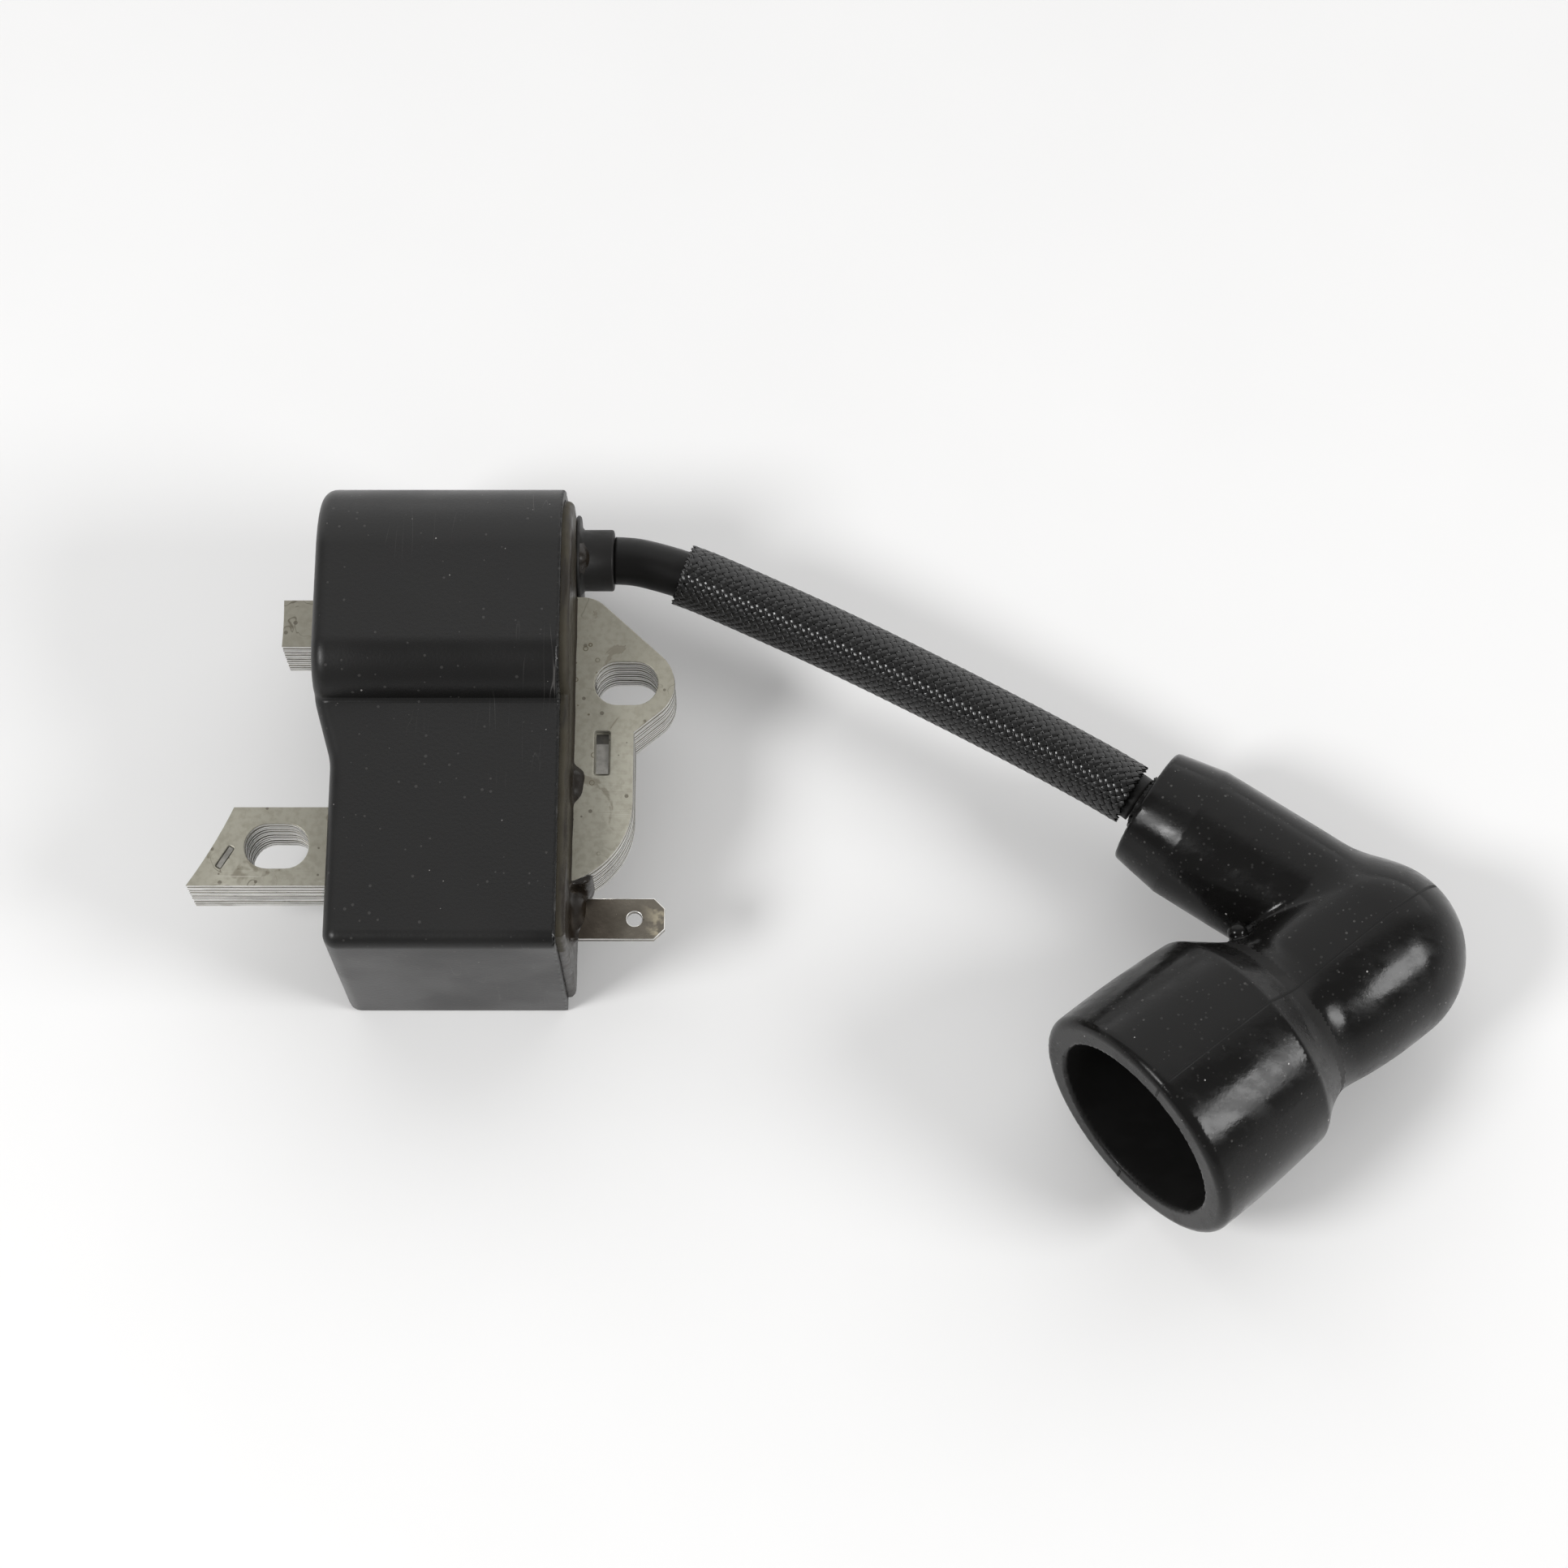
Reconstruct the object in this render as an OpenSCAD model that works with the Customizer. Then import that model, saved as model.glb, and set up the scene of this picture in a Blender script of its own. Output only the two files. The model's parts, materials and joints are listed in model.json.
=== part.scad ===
// Flywheel ignition coil of a small two-stroke engine: a potted module on a laminated steel
// core, a short plug lead in a braided sleeve, and an angled rubber plug boot.
// Origin: centre of the case's flat underside. +X points out of the potted side, +Z up. Millimetres.

/* [Case] */
// Width of the case, from its closed wall to its open rim
case_w = 27.4; // [26.4:0.2:29]
// Depth of the case, from the front wall to the far side of the coil housing
case_d = 55.2; // [54.6:0.2:57]
// Height of the low box in front of the coil housing
box_h = 26.5; // [25.5:0.5:28]
// Height of the round-shouldered coil housing
coil_h = 31; // [30.6:0.2:33]
// Depth of the coil housing
coil_d = 27.1; // [26.9:0.1:29]
// Radius of the coil housing's far shoulder
far_round = 10; // [8:0.2:11]
// Radius of the coil housing's near shoulder
near_round = 6; // [4:0.2:7]
// Radius of the coil housing's lower far edge
low_round = 7; // [5:0.2:8]
// Wall thickness of the case
wall = 1.3; // [1:0.1:1.4]
// Thickness of the case's base
base_t = 1.5; // [1.4:0.1:1.8]
// Rounding of the case's outer edges
case_round = 1.6; // [1:0.1:2]
// Set-back of the low box's closed wall from the coil housing's wall
jog = 2.1; // [1:0.1:2.6]
// Where the slanting part of the closed wall starts, measured from the front wall
jog_start = 21.5; // [19:0.1:22]
// Length of the slanting part of the closed wall
jog_len = 7.4; // [5:0.2:8]
// Height of the hardened resin above the rim
resin_proud = 0.9; // [0.4:0.1:1.2]
// Distance of the raised resin from the case's wall
resin_edge = 0.9; // [0.5:0.1:1.5]

/* [Core] */
// Number of sheets in the core
sheet_count = 12; // [11:1:12]
// Pitch of the sheets
sheet_pitch = 0.65; // [0.6:0.01:0.66]
// Height of the groove between two sheet edges
groove_h = 0.09; // [0.05:0.01:0.12]
// Depth of the groove between two sheet edges
groove_d = 0.12; // [0.05:0.01:0.2]
// Radius of the flywheel's path past the pole faces
pole_r = 57; // [50:1:70]
// Reach of the coil leg's pole face past the closed wall
pole_reach = 4.7; // [4.3:0.1:6]
// Distance of the coil leg's centre line from the housing's far side
coil_in = 14.9; // [14.8:0.1:15.4]
// Width of the leg that carries the windings
coil_leg_w = 5.7; // [5:0.1:5.8]
// Width of the bare leg
bare_leg_w = 9.2; // [8.8:0.1:9.6]
// Distance of the bare leg's centre line from the front wall
bare_in = 13.6; // [13:0.1:14.4]
// Width of the yoke that joins the legs
yoke_w = 9.2; // [8:0.1:9.6]
// How far the yoke's outer edge stands past the rim
yoke_out = 7.9; // [7:0.1:9]
// Radius of the yoke's outer corner
yoke_corner = 9.8; // [7:0.1:10]
// Width of the two screw slots
slot_w = 5.2; // [4.4:0.1:5.4]
// Length of the two screw slots
slot_l = 7.2; // [6.4:0.1:7.6]
// Distance between the slots across the closed wall
slot_dx = 38.6; // [37.8:0.1:39.4]
// Distance between the slots along the closed wall
slot_dy = 19.4; // [19:0.1:19.8]
// Width of steel round the slot in the ear
ear_rim = 1.85; // [1.6:0.05:2.4]
// Distance of the ear's slot from the yoke's outer edge
ear_inset = 0.9; // [0.4:0.1:1.4]

/* [Windings] */
// Radius of the primary former's tube
former_r = 6.2; // [6:0.1:6.3]
// Radius of the primary former's flanges
former_flange_r = 7.8; // [7.6:0.1:7.9]
// Wall thickness of the secondary former's tube
spool_wall = 0.9; // [0.7:0.1:1.1]
// Room between the secondary former's flanges and the housing
spool_room = 1.1; // [0.8:0.1:1.4]
// Number of winding chambers on the secondary former
chamber_count = 5; // [3:1:6]
// Thickness of the formers' inner flanges
flange_t = 0.8; // [0.6:0.1:1]
// Thickness of the secondary former's end flanges
end_flange_t = 1.2; // [1:0.1:1.4]
// Distance of both formers from the rim
former_in = 4.3; // [4:0.1:5]
// Length of the charging winding's share of the primary former
charge_l = 6; // [5:0.2:8]
// Depth of the primary and charging windings
primary_t = 1.2; // [0.8:0.1:1.3]
// How far the secondary winding stays below its former's flanges
secondary_drop = 0.9; // [0.6:0.1:1.2]

/* [Circuit] */
// Distance of the circuit board from the rim
board_in = 4; // [3.6:0.1:5]
// Distance between the circuit board and the secondary former, seen from above
board_gap = 2.4; // [2:0.1:3]
// Thickness of the circuit board
board_t = 1.2; // [1:0.1:1.6]
// Drop of the circuit board's upper face below the core
board_drop = 1.6; // [1.4:0.1:2]
// Distance of the storage capacitor from the stop terminal's bend
capacitor_gap = 2.1; // [1.5:0.1:3]
// Depth of the storage capacitor
capacitor_d = 6.2; // [5:0.1:6.4]
// Height of the storage capacitor
capacitor_h = 10.6; // [8:0.1:12]
// Diameter of a rectifier diode's body
diode_d = 2.6; // [2:0.1:3]
// Length of a rectifier diode's body
diode_l = 5.2; // [4:0.1:5.6]
// Diameter of a resistor's body
resistor_d = 2.3; // [1.8:0.1:2.6]
// Length of a resistor's body
resistor_l = 6.2; // [5:0.1:6.6]
// Diameter of the thyristor's body
thyristor_d = 4.8; // [4:0.1:5]
// Height of the thyristor's body
thyristor_h = 4.6; // [4:0.1:5]

/* [Stop terminal] */
// Width of the blade
blade_w = 4.8; // [4.6:0.1:5]
// Thickness of the blade
blade_t = 0.8; // [0.5:0.1:1]
// Reach of the blade past the rim
blade_out = 11.5; // [9:0.1:13]
// Height of the blade's upper face
blade_z = 15; // [14:0.1:16]
// Distance of the blade's centre line from the front wall
blade_y = 6.5; // [6:0.1:6.6]
// Diameter of the blade's detent hole
blade_hole = 1.7; // [1.2:0.1:2]
// Chamfer of the blade's tip
blade_chamfer = 1.2; // [0.8:0.1:1.6]

/* [Lead] */
// Diameter of the lead
lead_d = 5.5; // [5:0.1:5.6]
// Diameter of the lead's stranded conductor
strand_d = 1.8; // [1.4:0.1:2]
// Outer diameter of the collar that the lead leaves
collar_d = 7.1; // [6.8:0.1:8]
// Reach of the collar past the rim
collar_out = 5.2; // [5:0.1:5.2]
// Diameter of the collar's flange
collar_flange_d = 10.4; // [9.6:0.1:10.8]
// Thickness of the collar's flange
collar_flange_t = 0.5; // [0.4:0.1:0.8]
// Outer diameter of the braided sleeve
sleeve_d = 7.3; // [7.2:0.1:8]
// Thickness of the braided sleeve
sleeve_t = 0.45; // [0.35:0.05:0.5]

/* [Boot] */
// Angle between the boot's mouth and the lead that enters it, seen from above
boot_angle = 73; // [65:1:100]
// Upward tilt of the boot's mouth
boot_tilt = 7.5; // [4:0.5:9]
// Radius of the boot's closed round end
dome_r = 10.9; // [10.4:0.1:11.1]
// Radius of the barrel's waist
waist_r = 9.6; // [9:0.1:10]
// Offset of the barrel from the mouth's axis, away from the lead
barrel_off = 1; // [0:0.1:1.2]
// Radius of the skirt at the flare
skirt_r = 13.7; // [13.4:0.1:13.8]
// Radius of the skirt at its lip
lip_r = 14.3; // [14:0.1:14.6]
// Radius of the boot's mouth
mouth_r = 11; // [10:0.1:11.2]
// Distance of the lip from the crossing of the boot's axes
mouth_reach = 36.3; // [35:0.1:38]
// Length of the mouth's straight bore
mouth_bore_l = 10.7; // [10.2:0.1:11.2]
// Chamfer of the mouth's inner edge
mouth_chamfer = 0.8; // [0.6:0.1:1]
// Length of the bore that grips the plug's insulator
grip_l = 4.8; // [4:0.1:5.2]
// Rounding of the skirt's lip
lip_round = 1.5; // [1:0.1:1.55]
// Radius of the bore that grips the plug's insulator
grip_r = 5.3; // [5:0.1:5.8]
// Outer radius of the neck
neck_r = 8; // [7.6:0.1:8.4]
// Outer radius of the neck's end
neck_end_r = 7; // [6.6:0.1:7.4]
// Length of the neck from the crossing of the boot's axes
neck_l = 29.5; // [28:0.1:31]
// Length of the neck's taper
neck_taper = 6; // [4:0.2:8]
// Radial room of the seal lip round the lead
seal_t = 0.55; // [0.4:0.05:0.8]
// Reach of the seal lip past the neck's end
seal_out = 0.8; // [0.5:0.1:1]
// Diameter of the contact spring's wire
wire_d = 0.8; // [0.6:0.1:0.9]
// Mean radius of the contact spring's curls
curl_r = 2.7; // [2.6:0.1:3]
// Number of curls on the contact spring
curl_count = 7; // [5:1:7]
// Pitch of the contact spring's curls
curl_pitch = 1.6; // [1.4:0.1:1.8]

/* [Hidden] */
$fn = 64;
overcut = 1;          // how far a cutting solid passes the face that it cuts
fit = 0.05;           // room between the resin and a piece set in it
slip = 0.1;           // room between nested pieces of the windings
turn_room = 0.08;     // room between the lead and the boot that turns on it

// Case
wall_x = -case_w / 2;
rim_x = case_w / 2;
far_y = 27.2;         // far side of the coil housing
front_y = far_y - case_d;
coil_y = far_y - coil_in;
box_wall_x = wall_x + jog;
jog_y0 = front_y + jog_start;
jog_y1 = jog_y0 + jog_len;
resin_x = rim_x + resin_proud;

// Core
core_z = coil_h / 2;  // the coil lies at mid-height of its housing
stack_h = sheet_count * sheet_pitch;
stack_z0 = core_z - stack_h / 2;
stack_z1 = core_z + stack_h / 2;
coil_leg_y0 = coil_y - coil_leg_w / 2;
coil_leg_y1 = coil_y + coil_leg_w / 2;
bare_leg_y = front_y + bare_in;
bare_leg_y0 = bare_leg_y - bare_leg_w / 2;
bare_leg_y1 = bare_leg_y + bare_leg_w / 2;
yoke_x1 = rim_x + yoke_out;
yoke_x0 = yoke_x1 - yoke_w;
yoke_over = 0.4;      // how far the yoke stands past the coil leg's far edge
yoke_top_r = 3.8;
yoke_y1 = coil_leg_y1 + yoke_over;
pole_centre = [wall_x - pole_reach - pole_r, coil_y];
leg_stock = 40;       // length of the legs before the pole faces are cut
ear_slot = [yoke_x1 - ear_inset, bare_leg_y + slot_dy];
leg_slot = ear_slot - [slot_dx, slot_dy];
slot_run = slot_l - slot_w;
ear_c = ear_slot + [slot_run / 2, 0];
ear_r = slot_w / 2 + ear_rim;
ear_drop = 5.9;       // distance of the ear's lower root from its slot
ear_foot = [yoke_x1, ear_slot.y - ear_drop];
ear_angles = [-50, 47];
yoke_top_in = 6.1;    // distance of the yoke's far corner from its outer edge
mark_depth = 0.35;
yoke_mark = [1.8, 5.3];
yoke_mark_off = [3.5, 8.4];
yoke_mark_pos = [yoke_x1, ear_slot.y] - yoke_mark_off;
leg_mark = [0.8, 2.9];
leg_mark_off = [5.7, 1.3];
leg_mark_pos = leg_slot - leg_mark_off;
leg_mark_angle = -31;

// Windings, all round the coil leg
former_gap = 0.3;     // room between the formers and the closed wall
former_x1 = rim_x - former_in;
former_x0 = box_wall_x + wall + former_gap;
former_l = former_x1 - former_x0;
spool_bore_r = former_flange_r + slip;
spool_r = spool_bore_r + spool_wall;
spool_flange_r = coil_h - wall - core_z - spool_room;
secondary_t = spool_flange_r - spool_r - secondary_drop;
chamber_w = (former_l - 2 * end_flange_t - (chamber_count - 1) * flange_t) / chamber_count;
pin_d = 0.6;

// Circuit
board_room = 0.5;     // gap between the board and the case's walls
pin_lap = 0.5;        // how far the formers' pins lie on the board
board_x0 = box_wall_x + wall + board_room;
board_y0 = front_y + wall + board_room;
board_y1 = coil_y - spool_flange_r - board_gap;
board_w = rim_x - board_in - board_x0;
board_d = board_y1 - board_y0;
board_z = stack_z0 - board_drop;
board_z0 = board_z - board_t;
pin_y = [board_y1 - pin_lap, coil_y - former_flange_r - pin_lap];
wire_t = 0.5;         // diameter of the components' wires
stand_off = 0.5;      // gap between the board and a component's body
capacitor_in = 0.3;   // distance of the storage capacitor from the board's edge
capacitor_pos = [board_x0 + capacitor_in, board_y0, board_z + fit];
diode_x = [for (share = [0.25, 0.55, 0.85]) board_x0 + share * board_w];
diode_y = board_y1 - diode_l / 2 - 5 * wire_t;
resistor_x = [for (share = [0.25, 0.75]) board_x0 + share * board_w];
resistor_y = board_y0 + resistor_l / 2 + 2 * wire_t;
thyristor_pos = [board_x0 + board_w / 2, resistor_y];
strap_w = 3;
strap_t = 0.4;
strap_x = board_x0 + 0.6 * board_w;
strap_run = 4;
blade_cy = front_y + blade_y;
blade_x1 = rim_x + blade_out;
blade_root = 4.7;     // distance of the blade's bend from the rim
blade_x0 = rim_x - blade_root;
blade_hole_in = 3.4;  // distance of the detent hole from the blade's tip
capacitor_size = [blade_x0 - capacitor_gap - capacitor_pos.x, capacitor_d, capacitor_h];

// Lead: the route of its free stretch, from the collar's face to the boot's seal lip
lead_r = lead_d / 2;
lead_y = 21.7;
lead_z = 15.5;
route = [[18.9, 21.7, 15.5], [21.4, 21.5, 15.5], [24, 20.9, 15.4], [27, 20, 15.2], [30.4, 18.7, 14.9],
    [39.8, 14.5, 14.2], [46.4, 11.4, 13.7], [52.9, 8.2, 13.2], [60.3, 4.4, 12.7], [67.7, 0.5, 12.1],
    [74.1, -3, 11.5], [78.1, -5.4, 11.2], [79.2, -6.2, 11.1]];
sleeve_from = 3;
sleeve_to = 11;
route_end = len(route) - 1;
collar_x0 = rim_x - 1.5;
collar_x1 = rim_x + collar_out;
output_d = 1.4;
root_x0 = rim_x - 2.7;
sides = 12;
strand_sides = 8;

// Boot: the lead enters along neck_dir, the plug along mouth_dir
neck_turn = 146.3;
neck_dir = [cos(neck_turn), sin(neck_turn), 0];
mouth_turn = neck_turn + boot_angle;
mouth_dir = [cos(mouth_turn) * cos(boot_tilt), sin(mouth_turn) * cos(boot_tilt), sin(boot_tilt)];
boot_pos = route[route_end] - (neck_l + seal_out) * neck_dir;
neck_side = unit(neck_dir - (neck_dir * mouth_dir) * mouth_dir);
neck_lean = acos(neck_dir * mouth_dir);
flare_s0 = 14.8;
flare_s1 = 19.8;
cone_l = 4;
mouth_s1 = mouth_reach - mouth_chamfer;
mouth_s0 = mouth_s1 - mouth_bore_l;
grip_s1 = mouth_s0 - cone_l;
grip_s0 = grip_s1 - grip_l;
tail_s0 = 6.5;
spring_bore_r = curl_r + wire_d / 2 + 0.3;
spring_s0 = 3.2;
dome_s = 1.3;         // place of the round end's centre on the mouth's axis
curl_rings = 8;
wire_sides = 6;

function unit(v) = v / norm(v);
function arc(c, r, a0, a1, n) = [for (k = [0 : n]) let (a = a0 + (a1 - a0) * k / n) c + r * [cos(a), sin(a)]];

// Direction of a route at each of its points, with its two ends given
function tangents(path, first, last) = [for (k = [0 : len(path) - 1])
    k == 0 ? first : k == len(path) - 1 ? last : unit(path[k + 1] - path[k - 1])];

// A ring of points round p, square to t
function ring(p, t, r, n) = let (side = unit(cross(t, [0, 0, 1])), up = cross(side, t))
    [for (k = [0 : n - 1]) p + r * (cos(360 * k / n) * side + sin(360 * k / n) * up)];
function flat(lists) = [for (l = lists) each l];

// Two triangles of a tube's wall between point k of ring a and the next points, wound outwards
function wall_faces(a, b, k, n) = let (j = (k + 1) % n)
    [[a * n + k, a * n + j, b * n + j], [a * n + k, b * n + j, b * n + k]];

// A solid rod swept along a path
module rod(path, dirs, r, n) {
    count = len(path);
    points = flat([for (k = [0 : count - 1]) ring(path[k], dirs[k], r, n)]);
    walls = flat([for (a = [0 : count - 2], k = [0 : n - 1]) wall_faces(a, a + 1, k, n)]);
    start = [for (k = [1 : n - 2]) [0, k + 1, k]];
    last = (count - 1) * n;
    end = [for (k = [1 : n - 2]) [last, last + k, last + k + 1]];
    polyhedron(points, concat(walls, start, end));
}

// A tube swept along a path: the outer rings come first, then the inner ones
module tube(path, dirs, r_out, r_in, n) {
    count = len(path);
    outer = flat([for (k = [0 : count - 1]) ring(path[k], dirs[k], r_out, n)]);
    inner = flat([for (k = [0 : count - 1]) ring(path[k], dirs[k], r_in, n)]);
    out_faces = flat([for (a = [0 : count - 2], k = [0 : n - 1]) wall_faces(a, a + 1, k, n)]);
    in_faces = flat([for (a = [count : 2 * count - 2], k = [0 : n - 1]) wall_faces(a + 1, a, k, n)]);
    start = flat([for (k = [0 : n - 1]) wall_faces(count, 0, k, n)]);
    end = flat([for (k = [0 : n - 1]) wall_faces(count - 1, 2 * count - 1, k, n)]);
    polyhedron(concat(outer, inner), concat(out_faces, in_faces, start, end));
}

// Puts its children on an axis along +X through (y, z), starting at x
module along_x(x, y, z) { translate([x, y, z]) rotate([0, 90, 0]) children(); }

// Puts its children in the boot's own frame: +Z out of the mouth, the neck leaning towards +X
module in_boot() {
    side = cross(mouth_dir, neck_side);
    multmatrix([[neck_side.x, side.x, mouth_dir.x, boot_pos.x],
        [neck_side.y, side.y, mouth_dir.y, boot_pos.y],
        [neck_side.z, side.z, mouth_dir.z, boot_pos.z]]) children();
}

// A washer or short pipe
module pipe(r_out, r_in, l) {
    difference() {
        cylinder(r = r_out, h = l);
        translate([0, 0, -overcut]) cylinder(r = r_in, h = l + 2 * overcut);
    }
}

// One rounded corner of the low box
module corner_post(x, y) {
    translate([x, y, 0]) cylinder(r = case_round, h = case_round, $fn = 32);
    translate([x, y, box_h - case_round]) sphere(r = case_round, $fn = 32);
}

module low_box() {
    r = case_round;
    hull() {
        for (x = [box_wall_x + r, rim_x + 2 * r], y = [front_y + r, jog_y1]) corner_post(x, y);
    }
    hull() {
        for (x = [box_wall_x + r, rim_x + 2 * r]) corner_post(x, jog_y0);
        for (x = [wall_x + r, rim_x + 2 * r], y = [jog_y1, coil_y]) corner_post(x, y);
    }
}

// Outline of the coil housing seen along X, drawn in by the given amount
module hump_plan(in) {
    near = far_y - coil_d;
    steps = 8;
    polygon(concat(
        arc([far_y - far_round, coil_h - far_round], far_round - in, 0, 90, steps),
        arc([near + near_round, coil_h - near_round], near_round - in, 90, 180, steps),
        arc([near + near_round, near_round], near_round - in, 180, 270, steps),
        arc([far_y - low_round, low_round], low_round - in, 270, 360, steps)));
}

// Extrudes a plan drawn in Y and Z along +X, from x on
module run_x(x, l) { translate([x, 0, 0]) rotate([90, 0, 90]) linear_extrude(l) children(); }

// Solid with a rounded edge round its closed end
module coil_housing() {
    r = case_round;
    hull() for (a = [0 : 22.5 : 90])
        run_x(wall_x + r * (1 - cos(a)), case_w - r) hump_plan(r * (1 - sin(a)));
}

// The hollow of the cup, which the resin fills
module hollow(l) {
    run_x(wall_x + wall, l - wall) intersection() {
        hump_plan(wall);
        translate([0, base_t]) square([far_y, coil_h]);
    }
    translate([box_wall_x + wall, front_y + wall, base_t])
        cube([l - jog - wall, coil_y - front_y - wall, box_h - wall - base_t]);
}

// Plan of one core sheet, drawn in by the given amount
module core_plan(in) {
    far = wall_x - leg_stock;
    difference() {
        polygon(concat(
            [[far, bare_leg_y0 + in]],
            arc([yoke_x1 - yoke_corner, bare_leg_y0 + yoke_corner], yoke_corner - in, -90, 0, 14),
            [ear_foot - [in, 0]],
            arc(ear_c, ear_r - in, ear_angles[0], ear_angles[1], 14),
            arc([yoke_x1 - yoke_top_in, yoke_y1 - yoke_top_r], yoke_top_r - in, ear_angles[1], 90, 6),
            [[yoke_x0 + in, yoke_y1 - in], [yoke_x0 + in, coil_leg_y1 - in], [far, coil_leg_y1 - in]],
            [[far, coil_leg_y0 + in], [yoke_x0 + in, coil_leg_y0 + in]],
            [[yoke_x0 + in, bare_leg_y1 - in], [far, bare_leg_y1 - in]]));
        translate(pole_centre) circle(pole_r + in, $fn = 180);
    }
}

module slot_plan(pos, out) {
    for (side = [-1, 1]) translate(pos + [side * slot_run / 2, 0]) circle(slot_w / 2 + out);
    translate(pos - [slot_run / 2, slot_w / 2 + out]) square([slot_run, slot_w + 2 * out]);
}

module sheet(in, h) {
    linear_extrude(h) difference() {
        core_plan(in);
        slot_plan(ear_slot, in);
        slot_plan(leg_slot, in);
    }
}

module case() {
    color("#2a2a2c") difference() {
        union() {
            low_box();
            coil_housing();
        }
        translate([rim_x, front_y - overcut, -overcut])
            cube([4 * case_round, case_d + 2 * overcut, coil_h + 2 * overcut]);
        hollow(case_w + overcut);
        translate([wall_x - overcut, coil_leg_y0 - fit, stack_z0 - fit])
            cube([wall + 2 * overcut, coil_leg_w + 2 * fit, stack_h + 2 * fit]);
        translate([wall_x - overcut, bare_leg_y0 - fit, stack_z0 - fit])
            cube([jog + wall + 2 * overcut, bare_leg_w + 2 * fit, stack_h + 2 * fit]);
    }
}

// The resin that closes the cup, raised a little in the middle
module resin_block() {
    edge = wall + resin_edge;
    hollow(case_w);
    translate([rim_x - overcut, front_y + edge, base_t + resin_edge])
        cube([overcut + resin_proud, coil_y - front_y - edge, box_h - edge - base_t - resin_edge]);
    run_x(rim_x - overcut, overcut + resin_proud) hump_plan(edge);
}

// Room in the resin for the board and what hangs from it or stands on it
module circuit_bay() {
    low = board_z0 - stand_off - max(thyristor_h, diode_d, resistor_d) - fit;
    translate([board_x0 - fit, board_y0 - fit, low])
        cube([board_w + 2 * fit, pin_y[1] - board_y0 + fit, stack_z0 - low]);
    translate(capacitor_pos - fit * [1, 1, 1]) cube(capacitor_size + 2 * fit * [1, 1, 1]);
    translate([blade_x0 - fit, blade_cy - blade_w / 2 - fit, blade_z - blade_t - fit])
        cube([case_w, blade_w + 2 * fit, blade_t + 2 * fit]);
    translate([blade_x0 - fit, blade_cy - blade_w / 2 - fit, board_z])
        cube([blade_t + 2 * fit, blade_w + 2 * fit, blade_z - board_z]);
}

// Stepped hole in the resin for the output pin, the lead's root and the collar
module lead_bay() {
    along_x(former_x1, lead_y, lead_z) {
        cylinder(r = output_d / 2 + fit, h = root_x0 - former_x1);
        translate([0, 0, root_x0 - former_x1 - fit]) cylinder(r = lead_r + fit, h = case_w);
        translate([0, 0, collar_x0 - former_x1 - fit]) cylinder(r = collar_d / 2 + fit, h = case_w);
    }
}

module potting_resin() {
    color("#0c0c0d") difference() {
        resin_block();
        translate([0, 0, stack_z0 - fit]) linear_extrude(stack_h + 2 * fit) core_plan(-fit);
        along_x(former_x0 - fit, coil_y, core_z)
            cylinder(r = spool_flange_r + fit, h = former_l + 2 * fit);
        circuit_bay();
        lead_bay();
    }
}

// Interlocked stack: sheets with a fine groove between their edges
module core_stack() {
    color("#94928a") difference() {
        translate([0, 0, stack_z0]) {
            sheet(groove_d, stack_h);
            for (k = [0 : sheet_count - 1]) translate([0, 0, k * sheet_pitch + groove_h / 2])
                sheet(0, sheet_pitch - groove_h);
        }
        translate([yoke_mark_pos.x, yoke_mark_pos.y, stack_z1 - mark_depth])
            linear_extrude(2 * mark_depth) square(yoke_mark, center = true);
        translate([leg_mark_pos.x, leg_mark_pos.y, stack_z1 - mark_depth])
            linear_extrude(2 * mark_depth) rotate(leg_mark_angle) square(leg_mark, center = true);
    }
}

module primary_former() {
    color("#b9b3a2") difference() {
        along_x(former_x0, coil_y, core_z) {
            cylinder(r = former_r, h = former_l);
            for (x = [0, flange_t + charge_l, former_l - flange_t])
                translate([0, 0, x]) cylinder(r = former_flange_r, h = flange_t);
        }
        translate([former_x0 - overcut, coil_leg_y0 - fit, stack_z0 - fit])
            cube([former_l + 2 * overcut, coil_leg_w + 2 * fit, stack_h + 2 * fit]);
    }
}

module charging_winding() {
    color("#a8562a") along_x(former_x0 + flange_t + slip / 2, coil_y, core_z)
        pipe(former_r + primary_t, former_r, charge_l - slip);
}

module primary_winding() {
    start = 2 * flange_t + charge_l;
    color("#b86a34") along_x(former_x0 + start + slip / 2, coil_y, core_z)
        pipe(former_r + primary_t, former_r, former_l - start - flange_t - slip);
}

module secondary_former() {
    color("#c9c3b2") difference() {
        along_x(former_x0, coil_y, core_z) difference() {
            union() {
                cylinder(r = spool_r, h = former_l);
                for (x = [0, former_l - end_flange_t])
                    translate([0, 0, x]) cylinder(r = spool_flange_r, h = end_flange_t);
                for (k = [1 : chamber_count - 1])
                    translate([0, 0, end_flange_t + k * chamber_w + (k - 1) * flange_t])
                        cylinder(r = spool_flange_r, h = flange_t);
            }
            translate([0, 0, -overcut]) cylinder(r = spool_bore_r, h = former_l + 2 * overcut);
        }
        former_pins();
    }
}

module secondary_winding() {
    color("#8e3f22") for (k = [0 : chamber_count - 1])
        along_x(former_x0 + end_flange_t + k * (chamber_w + flange_t) + slip / 2, coil_y, core_z)
            pipe(spool_r + secondary_t, spool_r, chamber_w - slip);
}

// Pins from the secondary former's end flanges to the board
module former_pins() {
    color("silver") for (x = [former_x0 + end_flange_t / 2, former_x1 - end_flange_t / 2])
        translate([x, pin_y[0], board_z + pin_d / 2 + fit]) rotate([-90, 0, 0])
            cylinder(d = pin_d, h = pin_y[1] - pin_y[0], $fn = 24);
}

module circuit_board() {
    color("#2f6b3a") translate([board_x0, board_y0, board_z0]) cube([board_w, board_d, board_t]);
}

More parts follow.
